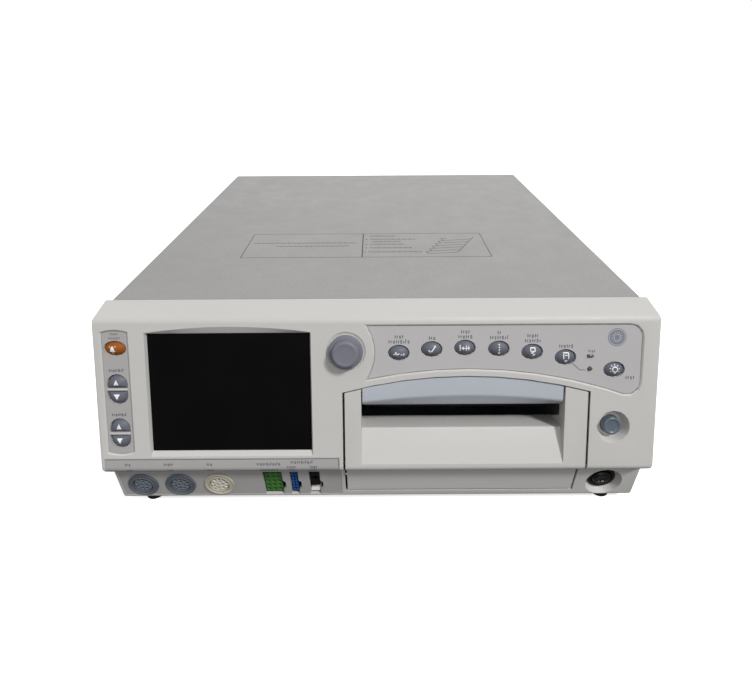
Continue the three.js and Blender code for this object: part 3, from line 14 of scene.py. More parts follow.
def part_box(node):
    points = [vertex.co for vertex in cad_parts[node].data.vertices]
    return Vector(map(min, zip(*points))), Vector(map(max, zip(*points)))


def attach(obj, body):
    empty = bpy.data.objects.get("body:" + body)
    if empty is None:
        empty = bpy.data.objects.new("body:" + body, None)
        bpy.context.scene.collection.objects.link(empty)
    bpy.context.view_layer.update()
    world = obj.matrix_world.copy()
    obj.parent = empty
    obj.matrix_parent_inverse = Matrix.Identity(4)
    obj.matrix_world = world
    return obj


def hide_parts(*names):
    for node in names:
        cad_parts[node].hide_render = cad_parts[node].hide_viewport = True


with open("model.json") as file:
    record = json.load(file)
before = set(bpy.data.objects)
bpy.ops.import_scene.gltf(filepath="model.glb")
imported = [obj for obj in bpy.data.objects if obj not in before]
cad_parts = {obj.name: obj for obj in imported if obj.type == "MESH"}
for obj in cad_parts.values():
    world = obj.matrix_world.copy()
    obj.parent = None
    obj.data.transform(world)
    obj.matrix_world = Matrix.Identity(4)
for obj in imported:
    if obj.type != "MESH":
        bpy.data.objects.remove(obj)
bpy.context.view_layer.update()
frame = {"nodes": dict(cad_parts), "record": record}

MM = 0.001
ROOT = "console"

# Sizes repeated from the part; an arch is its apex and its radius
LIP = (-223.243, 54.4)
BROW = (41.4, 165.7)
CHIN_FOOT = (13.7, 8.1)
CHIN_TOP = (11.7, 41.0)
DEPTH = 445.0
HEIGHT = 170.0
PANEL_INSET = 10.0
SEAT = 0.3
KEY_GAP = 0.4
KNOB = (-23.0, 93.8)
BUTTON = (180.3, 33.6)
POWER = (186.0, 17.0)
SOCKET_S = 17.7
SOCKET_XS = (-192.0, -161.4, -129.4)
ALARM = (-196.6, 96.8)
VOLUME_X = -196.6
VOLUME_S = {"display": 65.0, "audio": 30.3}
FUNCTION_KEYS = {
    "pressure_key": (16.69, 92.19),
    "test_key": (41.41, 94.83),
    "mark_key": (66.41, 95.79),
    "reference_key": (91.91, 95.01),
    "paper_key": (117.09, 92.47),
    "record_key": (142.2, 88.15),
    "light_key": (179.3, 78.38),
}
BAR_LAMP = (160.89, 89.15)
DOME_LAMP = (160.89, 79.25)
ROUNDEL = (180.4, 103.2)
DOOR_ARCH = (67.9, 73.3, 359.0)
MOUTH = (-12.0, 143.0)


# Planes

def basis(x, y, z, at=(0, 0, 0)):
    """The matrix that takes x, y and z to those three directions, from a point."""
    columns = Matrix((x, y, z)).transposed().to_4x4()
    return Matrix.Translation(at) @ columns


LEAN = math.atan2(BROW[0], BROW[1] - LIP[1])
CHIN_LEAN = math.atan2(CHIN_FOOT[0] - CHIN_TOP[0], CHIN_TOP[1] - CHIN_FOOT[1])
QUARTER = math.pi / 2
WORLD = Matrix.Identity(4)
FACE = Matrix.Translation((0, LIP[0], LIP[1])) @ Matrix.Rotation(QUARTER - LEAN, 4, "X")
CHIN_AT = (0, LIP[0] + CHIN_FOOT[0], CHIN_FOOT[1])
CHIN = Matrix.Translation(CHIN_AT) @ Matrix.Rotation(QUARTER + CHIN_LEAN, 4, "X")
BACK = basis((-1, 0, 0), (0, 0, 1), (0, 1, 0), (0, DEPTH / 2 - PANEL_INSET, 0))
TOP = Matrix.Translation((0, 0, HEIGHT))


def at(plane, x, y, z=0.0):
    return plane @ Matrix.Translation((x, y, z))


def level(node, plane):
    """How far a node reaches out of a plane, in millimetres."""
    inverse = plane.inverted()
    return max((inverse @ (v.co / MM)).z for v in frame["nodes"][node].data.vertices)


# Camera, from the photograph's view

PHOTO_WIDTH, PHOTO_HEIGHT = 752, 674
FOCAL_SHARE = 475.6 / PHOTO_WIDTH
SENSOR = 36.0
PITCH = math.radians(26.755)
YAW = math.radians(0.002)
ROLL = math.radians(-0.327)
CAMERA_AT = (-0.14, -485.0, 350.14)
SHIFT_Y = (280.5 - PHOTO_HEIGHT / 2) / PHOTO_WIDTH

forward = Vector((math.sin(YAW) * math.cos(PITCH), math.cos(YAW) * math.cos(PITCH), -math.sin(PITCH)))
right = Vector((math.cos(YAW), -math.sin(YAW), 0))
above = right.cross(forward)
across = math.cos(ROLL) * right + math.sin(ROLL) * above
upward = -math.sin(ROLL) * right + math.cos(ROLL) * above
camera_data = bpy.data.cameras.new("camera")
camera_data.sensor_width = SENSOR
camera_data.lens = SENSOR * FOCAL_SHARE
camera_data.shift_y = SHIFT_Y
camera = bpy.data.objects.new("camera", camera_data)
camera.matrix_world = basis(across, upward, -forward, Vector(CAMERA_AT) * MM)
bpy.context.scene.collection.objects.link(camera)
bpy.context.scene.camera = camera
bpy.context.scene.view_settings.view_transform = "Standard"


# Light

def sun_light(name, towards, strength, spread):
    data = bpy.data.lights.new(name, "SUN")
    data.energy = strength
    data.angle = math.radians(spread)
    light = bpy.data.objects.new(name, data)
    light.rotation_euler = (-Vector(towards)).to_track_quat("-Z", "Y").to_euler()
    bpy.context.scene.collection.objects.link(light)


# A key from the upper right, as the knob's shadow shows, and soft fills on the other sides
sun_light("key_light", (0.45, -0.43, 0.785), 2.3, 10)
sun_light("front_fill", (-0.1, -0.87, 0.48), 0.42, 30)
sun_light("left_fill", (-0.9, 0.35, 0.15), 0.7, 60)
sun_light("back_fill", (0.1, 0.95, 0.15), 0.9, 60)


# Node trees

def feed(tree, source, target):
    """Feeds a socket from another one, a colour (a list) or a plain value."""
    if isinstance(source, bpy.types.NodeSocket):
        tree.links.new(source, target)
    else:
        target.default_value = [*source, 1] if isinstance(source, list) else source


def add_node(tree, kind, inputs=None, **settings):
    made = tree.nodes.new(kind)
    for key, value in settings.items():
        setattr(made, key, value)
    for key, source in (inputs or {}).items():
        feed(tree, source, made.inputs[key])
    return made


# The room: plain white to the camera, a soft gradient in what it lights

ROOM_BELOW, ROOM_ABOVE, HORIZON = 0.10, 0.40, 0.25
world = bpy.data.worlds.new("studio")
world.use_nodes = True
room = world.node_tree
direction = add_node(room, "ShaderNodeTexCoord").outputs["Generated"]
gradient = add_node(room, "ShaderNodeMapRange", {
    "Value": add_node(room, "ShaderNodeSeparateXYZ", {"Vector": direction}).outputs["Z"],
    "From Min": -HORIZON,
    "From Max": HORIZON,
    "To Min": ROOM_BELOW,
    "To Max": ROOM_ABOVE,
})
seen = add_node(room, "ShaderNodeLightPath").outputs["Is Camera Ray"]
brightness = add_node(room, "ShaderNodeMix", {"Factor": seen, "A": gradient.outputs["Result"], "B": 1.0})
background = room.nodes["Background"].inputs
feed(room, (1, 1, 1, 1), background["Color"])
feed(room, brightness.outputs["Result"], background["Strength"])
bpy.context.scene.world = world


# Materials, kept by name as they are made

MATERIALS = {}
BEVEL_SAMPLES = 4
SHARP_DOT, FLAT_DOT = 0.55, 0.98
NOISE_LOW, NOISE_HIGH = 0.3, 0.7


def linear(code):
    """An sRGB colour, written as six hex digits, in linear light."""
    values = [int(code[start:start + 2], 16) / 255 for start in (0, 2, 4)]
    return [v / 12.92 if v <= 0.04045 else ((v + 0.055) / 1.055) ** 2.4 for v in values]


class Look:
    """A Principled material whose colour, roughness and relief are procedural."""

    def __init__(self, name, code, roughness, metallic=0.0, coat=0.0, specular=0.5):
        self.base = linear(code)
        self.material = MATERIALS[name] = bpy.data.materials.new(name)
        self.material.use_nodes = True
        self.tree = self.material.node_tree
        self.inputs = self.tree.nodes["Principled BSDF"].inputs
        self.inputs["Roughness"].default_value = roughness
        self.inputs["Metallic"].default_value = metallic
        self.inputs["Coat Weight"].default_value = coat
        self.inputs["Specular IOR Level"].default_value = specular
        self.place = self.node("ShaderNodeTexCoord").outputs["Object"]
        self.normal = None

    def node(self, kind, inputs=None, **settings):
        return add_node(self.tree, kind, inputs, **settings)

    def noise(self, size, detail=2.0, roughness=0.5, stretch=None):
        """Noise whose features are about that many millimetres across."""
        place = self.place
        if stretch:
            place = self.node("ShaderNodeMapping", {"Vector": place, "Scale": stretch}).outputs["Vector"]
        inputs = {"Vector": place, "Scale": 1 / (size * MM), "Detail": detail, "Roughness": roughness}
        return self.node("ShaderNodeTexNoise", inputs).outputs["Fac"]

    def cells(self, size, feature="F1"):
        inputs = {"Vector": self.place, "Scale": 1 / (size * MM)}
        return self.node("ShaderNodeTexVoronoi", inputs, feature=feature).outputs["Distance"]

    def span(self, value, low, high, to_low=0.0, to_high=1.0):
        inputs = {"Value": value, "From Min": low, "From Max": high, "To Min": to_low, "To Max": to_high}
        return self.node("ShaderNodeMapRange", inputs).outputs["Result"]

    def wander(self, noise, low, high):
        """A value that noise moves between two others."""
        return self.span(noise, NOISE_LOW, NOISE_HIGH, low, high)

    def product(self, one, other):
        return self.node("ShaderNodeMath", {0: one, 1: other}, operation="MULTIPLY").outputs[0]

    def tint(self, factor):
        """The base colour, darker or paler by a factor."""
        return [min(channel * factor, 1.0) for channel in self.base]

    def mix(self, share, one, other):
        """A colour between two, each a socket or a factor of the base colour."""
        made = self.node("ShaderNodeMix", {"Factor": share}, data_type="RGBA")
        colour_inputs = [socket for socket in made.inputs if socket.type == "RGBA"]
        for colour, socket in zip((one, other), colour_inputs):
            feed(self.tree, self.tint(colour) if isinstance(colour, (int, float)) else colour, socket)
        return next(socket for socket in made.outputs if socket.type == "RGBA")

    def bevelled(self, radius):
        return self.node("ShaderNodeBevel", {"Radius": radius * MM}, samples=BEVEL_SAMPLES).outputs["Normal"]

    def edges(self, radius):
        """1 along sharp edges, 0 on flat faces."""
        normals = {0: self.bevelled(radius), 1: self.node("ShaderNodeNewGeometry").outputs["Normal"]}
        dot = self.node("ShaderNodeVectorMath", normals, operation="DOT_PRODUCT")
        return self.span(dot.outputs["Value"], SHARP_DOT, FLAT_DOT, 1.0, 0.0)

    def round_edges(self, radius):
        self.normal = self.bevelled(radius)

    def relief(self, height, depth):
        """Bump of that many millimetres from a height socket."""
        inputs = {"Distance": depth * MM, "Height": height}
        if self.normal is not None:
            inputs["Normal"] = self.normal
        self.normal = self.node("ShaderNodeBump", inputs).outputs["Normal"]

    def done(self, colour, roughness=None):
        for key, source in (("Base Color", colour), ("Roughness", roughness), ("Normal", self.normal)):
            if source is not None:
                feed(self.tree, source, self.inputs[key])
        return self.material


def moulded(name, code, roughness=0.5, grain=0.5, depth=0.01, rounding=0.3, wear=1.3, mottle=0.05, **rest):
    """Moulded plastic: spark-eroded grain, faint cloudiness, edges rubbed a little paler."""
    look = Look(name, code, roughness, **rest)
    cloud = look.mix(look.noise(38, 3), 1 - mottle, 1 + mottle)
    fine = look.mix(look.span(look.noise(grain * 1.6, 2), 0.35, 0.65, 0.0, 0.12), cloud, 0.8)
    rubbed = look.product(look.edges(rounding), look.noise(7, 3))
    colour = look.mix(rubbed, fine, wear)
    look.round_edges(rounding)
    look.relief(look.noise(grain, 3, 0.6), depth)
    return look.done(colour, look.wander(look.noise(11, 3), roughness - 0.06, roughness + 0.07))


def powder_coat(name, code):
    """Textured paint on sheet: small bumps with darker and paler flecks."""
    look = Look(name, code, 0.55, specular=0.3)
    cloud = look.mix(look.noise(60, 3), 0.95, 1.05)
    dark = look.mix(look.span(look.noise(0.9, 2), 0.56, 0.7), cloud, 0.84)
    light = look.mix(look.span(look.noise(1.2, 1), 0.6, 0.72), dark, 1.14)
    look.round_edges(0.5)
    look.relief(look.noise(1.1, 2, 0.5), 0.04)
    return look.done(light, look.wander(look.noise(18, 3), 0.5, 0.64))


def film(name, code):
    """Printed film with a velvet surface."""
    look = Look(name, code, 0.42)
    cloud = look.mix(look.noise(24, 2), 0.97, 1.03)
    colour = look.mix(look.span(look.noise(0.5, 1), 0.4, 0.6, 0.0, 0.1), cloud, 0.75)
    look.round_edges(0.25)
    look.relief(look.noise(0.35, 1), 0.006)
    return look.done(colour, look.wander(look.noise(9, 2), 0.36, 0.5))


def metal(name, code, roughness=0.32, stretch=(1, 14, 14), grain=1.2):
    """Bright sheet or turned metal with a drawn grain."""
    look = Look(name, code, roughness, metallic=1.0)
    streak = look.noise(grain, 3, 0.6, stretch)
    colour = look.mix(streak, 0.86, 1.08)
    look.round_edges(0.3)
    look.relief(streak, 0.01)
    return look.done(colour, look.wander(streak, roughness - 0.07, roughness + 0.12))


def rubber(name, code):
    """Dull rubber with dust in its pores."""
    look = Look(name, code, 0.8, specular=0.3)
    dusty = look.mix(look.span(look.noise(5, 4), 0.45, 0.8), 1, 2.2)
    look.round_edges(0.3)
    look.relief(look.noise(0.8, 2), 0.03)
    return look.done(dusty, look.wander(look.noise(4, 3), 0.72, 0.92))


def screen(name, code):
    """Dark display behind a hard, faintly smeared window."""
    look = Look(name, code, 0.2, specular=0.05)
    colour = look.mix(look.noise(45, 2), 0.8, 1.5)
    smear = look.span(look.noise(26, 4, 0.6, (1, 2.5, 1)), 0.4, 0.75, 0.18, 0.3)
    look.relief(look.noise(30, 1), 0.008)
    return look.done(colour, smear)


def circuit(name, code):
    """Board with paler tracks."""
    look = Look(name, code, 0.4)
    tracks = look.span(look.cells(5, "DISTANCE_TO_EDGE"), 0.02, 0.06, 1.0, 0.0)
    colour = look.mix(tracks, 1, 1.9)
    look.relief(tracks, 0.03)
    return look.done(colour)


def ink(name, code, roughness=0.5):
    """Screen print, slightly uneven in its cover."""
    look = Look(name, code, roughness)
    return look.done(look.mix(look.noise(1.2, 2), 0.85, 1.15))


def lens(name, code):
    """Clouded lamp cover over a cellular diffuser."""
    look = Look(name, code, 0.2, coat=0.5)
    look.relief(look.cells(0.9), 0.02)
    return look.done(look.mix(look.noise(3, 1), 0.8, 1.2))


# The part's slots
moulded("bezel_plastic", "c4c2bf", 0.52, grain=0.8, depth=0.018, rounding=0.45, wear=1.12, mottle=0.02)
powder_coat("cover_paint", "989796")
metal("sheet_steel", "c2c4c7", 0.42)
film("overlay_film", "b7b5b5")
moulded("key_slate", "72737d", wear=1.25)
moulded("alarm_amber", "96531b", wear=1.2, specular=0.2)
moulded("visor_grey", "b2b7bf", 0.35, depth=0.006, rounding=0.4, wear=1.12, coat=0.15)
screen("display_glass", "0b0a0b")
lens("lamp_lens", "4e5449")
moulded("module_plastic", "5c5e62", grain=0.9, depth=0.02, rounding=0.45, wear=1.12)
circuit("board_green", "2f6a45")
metal("machined_steel", "c3c6c9", 0.25, (14, 1, 14), 0.8)
moulded("ivory_plastic", "b4af9f", 0.45, grain=0.9, depth=0.02, wear=1.12, specular=0.25)
moulded("socket_grey", "5b626a", 0.4, specular=0.25)
moulded("socket_green", "406e34", 0.45, rounding=0.2, specular=0.25)
moulded("socket_blue", "2b589a", 0.45, rounding=0.2, specular=0.25)
moulded("black_plastic", "0e0e0f", 0.36, depth=0.006, wear=1.6, specular=0.3)
metal("supply_case", "a9adb1")
rubber("roller_rubber", "1c1c1d")

# Looks of single pieces
KEY_DARK = moulded("key_dark", "646672", wear=1.25, specular=0.35)
INSERT_GREY = moulded("insert_grey", "6c737a", 0.4, rounding=0.2, specular=0.25)
INSERT_IVORY = moulded("insert_ivory", "cfcabd", 0.45, depth=0.02, rounding=0.2, wear=1.12, specular=0.25)
BUTTON_BLUE = moulded("button_blue", "5c6873", 0.3, depth=0.006, rounding=0.4)
# A darker copy of the overlay film: painted shade on the left key band and the connector strip
SHADED_FILM = film("shaded_film", "a9a7a6")
DARK_INK = ink("dark_ink", "4b4d53")
DIAL_INK = ink("dial_ink", "7b7d88")
PALE_INK = ink("pale_ink", "c4c6ce")
BLACK_INK = ink("black_ink", "2c2d30")
WHITE_INK = ink("white_ink", "eceded")
# Black for holes, recesses and the backs of openings: painted shade
SHADE_BLACK = ink("painted_shade_black", "08080a", 0.8)
FLOOR = ink("floor_white", "ffffff", 0.9)
FLOOR_GLOW = 0.6
glow = FLOOR.node_tree.nodes["Principled BSDF"].inputs
glow["Emission Color"].default_value = (1, 1, 1, 1)
glow["Emission Strength"].default_value = FLOOR_GLOW


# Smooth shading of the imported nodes: their split corners are joined, and only real edges stay sharp

SMOOTH_ANGLE = math.radians(32)
BROW_ANGLE = math.radians(24)
MERGE_DISTANCE = 0.002


def smoothing_group(angle):
    group = bpy.data.node_groups.new("smooth_by_angle", "GeometryNodeTree")
    for way in ("INPUT", "OUTPUT"):
        group.interface.new_socket("Geometry", in_out=way, socket_type="NodeSocketGeometry")
    packed = add_node(group, "NodeGroupInput")
    joined = add_node(group, "GeometryNodeMergeByDistance", {
        "Geometry": packed.outputs[0],
        "Distance": MERGE_DISTANCE * MM,
    })
    bare = add_node(group, "GeometryNodeRemoveAttribute", {
        "Geometry": joined.outputs["Geometry"],
        "Name": "custom_normal",
    })
    smooth = add_node(group, "GeometryNodeSetShadeSmooth", {"Geometry": bare.outputs["Geometry"]})
    bend = add_node(group, "GeometryNodeInputMeshEdgeAngle").outputs["Unsigned Angle"]
    sharp = add_node(group, "FunctionNodeCompare", {0: bend, 1: angle}, data_type="FLOAT",
                     operation="GREATER_THAN")
    edged = add_node(group, "GeometryNodeSetShadeSmooth", {
        "Geometry": smooth.outputs["Geometry"],
        "Selection": sharp.outputs["Result"],
        "Shade Smooth": False,
    }, domain="EDGE")
    add_node(group, "NodeGroupOutput", {0: edged.outputs["Geometry"]})
    return group


def slot_of(node):
    for part in frame["record"]["subparts"]:
        if part["node"] == node:
            return part["material_slot"]
    return "bezel_plastic"


# The connector strip takes the darker film, painted shade
LOOKS = {"connector_overlay": SHADED_FILM}
SMOOTHING = smoothing_group(SMOOTH_ANGLE)
SMOOTHED = {"front_bezel": smoothing_group(BROW_ANGLE)}
for node_name, node_object in frame["nodes"].items():
    node_object.data.materials.clear()
    node_object.data.materials.append(LOOKS.get(node_name, MATERIALS[slot_of(node_name)]))
    node_object.modifiers.new("smooth", "NODES").node_group = SMOOTHED.get(node_name, SMOOTHING)


# Mesh helpers

FINE_STEPS = 48


def piece(name, points, faces, material, plane=WORLD, body=ROOT, replaces=(), slot=None):
    """A mesh from points in millimetres on a plane, riding on a body."""
    if isinstance(material, str):
        slot = slot or material
        material = MATERIALS[material]
    mesh = bpy.data.meshes.new(name)
    mesh.from_pydata([(plane @ Vector(point)) * MM for point in points], [], faces)
    mesh.validate()
    mesh.materials.append(material)
    mesh.shade_smooth()
    mesh.set_sharp_from_angle(angle=SMOOTH_ANGLE)
    made = bpy.data.objects.new(name, mesh)
    bpy.context.scene.collection.objects.link(made)
    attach(made, body)
    if replaces:
        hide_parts(*replaces)
    return made


def rounded(points, closed=False, steps=5):
    """A polyline whose corners with a third value are rounded to that radius."""
    made = []
    for index, (x, y, *rest) in enumerate(points):
        corner = Vector((x, y))
        last = index in (0, len(points) - 1)
        if not rest or (last and not closed):
            made.append(corner)
            continue
        radius = rest[0]
        before = Vector(points[index - 1][:2]) - corner
        after = Vector(points[(index + 1) % len(points)][:2]) - corner
        half = before.angle(after) / 2
        centre = corner + (before.normalized() + after.normalized()).normalized() * (radius / math.sin(half))
        reach = radius / math.tan(half)
        start = corner + before.normalized() * reach - centre
        end = corner + after.normalized() * reach - centre
        sweep = math.atan2(start.x * end.y - start.y * end.x, start.dot(end))
        for step in range(steps + 1):
            turn = sweep * step / steps
            made.append(centre + Vector((
                start.x * math.cos(turn) - start.y * math.sin(turn),
                start.x * math.sin(turn) + start.y * math.cos(turn),
            )))
    return made


def ring(x, y, rx, ry=None, steps=48):
    ry = rx if ry is None else ry
    return [
        (x + rx * math.cos(2 * math.pi * step / steps), y + ry * math.sin(2 * math.pi * step / steps))
        for step in range(steps)
    ]


def skin(rings):
    """Faces between closed rings of point numbers, one of which may be a single point, repeated."""
    faces = []
    for low, high in zip(rings, rings[1:]):
        for step in range(len(low)):
            after = (step + 1) % len(low)
            corners = list(dict.fromkeys((low[step], low[after], high[after], high[step])))
            if len(corners) > 2:
                faces.append(corners)
    return faces


def turned(name, profile, material, plane, steps=64, **rest):
    """Revolves (radius, height) points about the plane's z."""
    points = []
    rings = []
    for radius, height in profile:
        first = len(points)
        if radius < 1e-6:
            points.append((0, 0, height))
            rings.append([first] * steps)
        else:
            points += [(x, y, height) for x, y in ring(0, 0, radius, steps=steps)]
            rings.append(list(range(first, first + steps)))
    return piece(name, points, skin(rings), material, plane, **rest)


def loft(name, sections, material, plane=WORLD, **rest):
    """Skins over closed sections, each a list of as many 3-D points, and closes both ends."""
    count = len(sections[0])
    points = [point for section in sections for point in section]
    rings = [list(range(first, first + count)) for first in range(0, len(points), count)]
    return piece(name, points, [*skin(rings), rings[0][::-1], rings[-1]], material, plane, **rest)


def slab(name, outline, low, high, material, plane, holes=(), bevel=0.0, **rest):
    """A plate with rounded rims, filled between its outline and its holes."""
    curve = bpy.data.curves.new(name, "CURVE")
    curve.dimensions = "2D"
    curve.fill_mode = "BOTH"
    curve.extrude = (high - low) / 2 - bevel
    curve.bevel_depth = bevel
    curve.bevel_resolution = 2
    curve.offset = -bevel
    for rim in (outline, *holes):
        spline = curve.splines.new("POLY")
        spline.points.add(len(rim) - 1)
        for point, (x, y) in zip(spline.points, rim):
            point.co = (x, y, 0, 1)
        spline.use_cyclic_u = True
    holder = bpy.data.objects.new(name + "_curve", curve)
    bpy.context.scene.collection.objects.link(holder)
    bpy.context.view_layer.update()
    mesh = bpy.data.meshes.new_from_object(holder.evaluated_get(bpy.context.evaluated_depsgraph_get()))
    points = [(v.co.x, v.co.y, v.co.z + (low + high) / 2) for v in mesh.vertices]
    faces = [list(polygon.vertices) for polygon in mesh.polygons]
    bpy.data.objects.remove(holder)
    return piece(name, points, faces, material, plane, **rest)


def box(x0, x1, y0, y1, radius=0.0):
    corners = [(x0, y0), (x1, y0), (x1, y1), (x0, y1)]
    if radius == 0:
        return corners
    return rounded([(*corner, radius) for corner in corners], closed=True)


def plate(x, y, width, height, radius):
    """A box about its middle."""
    return box(x - width / 2, x + width / 2, y - height / 2, y + height / 2, radius)


def spaced(x0, x1):
    return [x0 + (x1 - x0) * step / FINE_STEPS for step in range(FINE_STEPS + 1)]


def blend(one, other, share):
    return (one[0] + (other[0] - one[0]) * share, one[1] + (other[1] - one[1]) * share)


def shrunk(outline, centre, share, z):
    """The outline at a height, drawn in to a share of its size."""
    return [(*blend(centre, point, share), z) for point in outline]


# Prints: strokes and fills that lie just off a surface

PRINT_LIFT = 0.04
FINE = 0.8
LEAST_MITRE = 0.4


def finely(line, closed=False):
    """The line with its long stretches cut, so that it can follow a dome."""
    made = []
    for here, after in zip(line, [*line[1:], *line[:1]] if closed else line[1:]):
        cuts = max(1, math.ceil(math.dist(here, after) / FINE))
        made += [blend(here, after, cut / cuts) for cut in range(cuts)]
    return made if closed else [*made, line[-1]]


class Print:
    """Collects strokes and fills, then becomes one thin piece on a plane or on a dome."""

    def __init__(self, height=0.0, at=(0, 0), scale=1.0):
        self.points = []
        self.faces = []
        self.domed = callable(height)
        self.height = height if self.domed else lambda x, y: height
        self.at = at
        self.scale = scale

    def face(self, outline):
        first = len(self.points)
        for x, y in outline:
            px, py = x * self.scale, y * self.scale
            self.points.append((self.at[0] + px, self.at[1] + py, self.height(px, py) + PRINT_LIFT))
        self.faces.append(list(range(first, first + len(outline))))

    def fill(self, outline):
        if not self.domed:
            self.face(outline)
            return
        rim = finely(outline, closed=True)
        middle = (sum(x for x, _ in rim) / len(rim), sum(y for _, y in rim) / len(rim))
        rows = max(1, math.ceil(max(math.dist(middle, point) for point in rim) / FINE))
        for here, after in zip(rim, [*rim[1:], rim[0]]):
            for row in range(rows):
                near, far = row / rows, (row + 1) / rows
                corners = [blend(middle, here, near), blend(middle, here, far), blend(middle, after, far)]
                self.face(corners if row == 0 else [*corners, blend(middle, after, near)])

    def stroke(self, line, width, closed=False):
        if self.domed:
            line = finely(line, closed)
        vectors = [Vector(point) for point in line]
        last = len(vectors) - 1
        sides = []
        for index, here in enumerate(vectors):
            before = vectors[index - 1] if index or closed else here - (vectors[1] - here)
            after = vectors[(index + 1) % len(vectors)] if index < last or closed else here + (here - before)
            come, leave = (here - before).normalized(), (after - here).normalized()
            along = (come + leave).normalized()
            aside = Vector((-along.y, along.x))
            square = max(aside.dot(Vector((-come.y, come.x))), LEAST_MITRE)
            sides.append((here + aside * width / 2 / square, here - aside * width / 2 / square))
        pairs = list(zip(sides, sides[1:])) + ([(sides[-1], sides[0])] if closed else [])
        for (left, right), (next_left, next_right) in pairs:
            self.face([right, next_right, next_left, left])

    def dot(self, x, y, radius):
        self.face(ring(x, y, radius, steps=16))

    def make(self, name, material, plane, body=ROOT):
        piece(name, self.points, self.faces, material, plane, body=body)


# Rows of small marks that stand where a caption would be
MARK_WIDTH_SHARE = 0.42
MARK_PITCH_SHARE = 0.74
MARK_SHARES = (1.0, 0.72, 0.72, 1.0, 0.72, 0.9, 0.72, 1.0, 0.72, 0.72)


def caption_row(made, x, y, count, size=2.2, stroke=0.52):
    """A row of bars, hooks and boxes of letter size, none of them a letter."""
    mark = size * MARK_WIDTH_SHARE
    pitch = size * MARK_PITCH_SHARE
    half = mark * 0.35
    start = x - pitch * (count - 1) / 2
    for index in range(count):
        px = start + pitch * index
        tall = size * MARK_SHARES[index % len(MARK_SHARES)]
        kind = index % 3
        if kind == 0:
            made.stroke([(px, y), (px, y + tall)], stroke)
            made.stroke([(px, y + tall * 0.5), (px + mark * 0.6, y + tall * 0.5)], stroke * 0.8)
        elif kind == 1:
            edge = px - mark * 0.3
            made.stroke([(edge, y), (edge, y + tall), (px + half, y + tall)], stroke)
        else:
            made.stroke(box(px - half, px + half, y, y + tall), stroke * 0.8, closed=True)


# Key bands

LEFT_BAND = {"x0": -206.3, "x1": -186.9, "y0": 15.4, "y1": 108.6, "rise": 1.6}
RIGHT_BAND = {"x0": -7.4, "x1": 199.4, "top": 113.0, "corner": 9.5, "waist": 6.0}
RIGHT_ARCH = (67.9, 79.4, 365.0)
SKIN = 0.8


def arch_at(arch, x):
    apex_x, apex_y, radius = arch
    return apex_y - radius + math.sqrt(radius**2 - (x - apex_x) ** 2)


def left_band_outline(drawn_in):
    """A tall band whose ends bulge."""
    x0, x1, rise = LEFT_BAND["x0"], LEFT_BAND["x1"], LEFT_BAND["rise"]

    def bow(x):
        return rise * (1 - ((x - (x0 + x1) / 2) / ((x1 - x0) / 2)) ** 2)

    xs = spaced(x0 + drawn_in, x1 - drawn_in)
    foot = [(x, LEFT_BAND["y0"] + drawn_in - bow(x)) for x in xs]
    top = [(x, LEFT_BAND["y1"] - drawn_in + bow(x)) for x in reversed(xs)]
    return foot + top


def right_band_outline(drawn_in):
    """A long band over the recorder's arch, with two round corners and a waist at the knob."""
    x0, x1, top = RIGHT_BAND["x0"] + drawn_in, RIGHT_BAND["x1"] - drawn_in, RIGHT_BAND["top"] - drawn_in
    foot = [(x, arch_at(RIGHT_ARCH, x) + drawn_in) for x in spaced(x0, x1)]
    side = []
    for step in range(1, FINE_STEPS // 2):
        share = step / (FINE_STEPS / 2)
        y = top + (foot[0][1] - top) * share
        side.append((x0 + RIGHT_BAND["waist"] * (1 - (2 * share - 1) ** 2), y))
    corner = RIGHT_BAND["corner"]
    corners = [*foot[:-1], (*foot[-1], corner), (x1, top, corner), (x0, top), *side]
    return rounded(corners, closed=True, steps=10)


# Keys, from the part's sizes

KEY = {"rx": 7.7, "ry": 5.75, "slack": 0.25, "proud": -2.0, "round": 0.4, "dome": 2.7, "flat": 2.3}
DOME_SHARES = (0.9, 0.8, 0.7, 0.6, 0.5, 0.4, 0.3, 0.2, 0.1, 0.02)
SHOULDER_STEPS = 5
ALARM_RADII = (8.1, 5.4)
VOLUME_KEY = {"width": 15.0, "height": 22.9, "bar": 2.4, "corner": 0.8}
KEY_FOOT = -4.0


def half_key_outline(x, y, side, steps=28):
    radius = VOLUME_KEY["width"] / 2
    centre = VOLUME_KEY["height"] / 2 - radius
    bar, corner = VOLUME_KEY["bar"] / 2, VOLUME_KEY["corner"]
    arc = []
    for step in range(steps + 1):
        angle = math.pi * step / steps
        arc.append((x + radius * math.cos(angle), y + side * (centre + radius * math.sin(angle))))
    corners = [*arc, (x - radius, y + side * bar, corner), (x + radius, y + side * bar, corner)]
    return rounded(corners, closed=True)[::side]


# Each key's outline and centre
keys = {"alarm_key": (ring(*ALARM, *ALARM_RADII), ALARM)}
volume_sides = {}
for place_name, place_s in VOLUME_S.items():
    for way, side in (("up", 1), ("down", -1)):
        key_name = f"{place_name}_volume_{way}_key"
        centre = (VOLUME_X, place_s + side * VOLUME_KEY["height"] / 4)
        keys[key_name] = (half_key_outline(VOLUME_X, place_s, side), centre)
        volume_sides[key_name] = side
for key_name, centre in FUNCTION_KEYS.items():
    keys[key_name] = (ring(*centre, KEY["rx"], KEY["ry"]), centre)


def inset(outline, centre, distance):
    """The outline with each point moved towards the centre by a distance."""
    made = []
    for x, y in outline:
        arm = Vector((x - centre[0], y - centre[1]))
        arm *= 1 - distance / arm.length
        made.append((centre[0] + arm.x, centre[1] + arm.y))
    return made


def dome(share):
    """Height of a key's crown at a share of the way from its centre to its rim."""
    return KEY["proud"] + KEY["dome"] * (1 - share ** KEY["flat"])


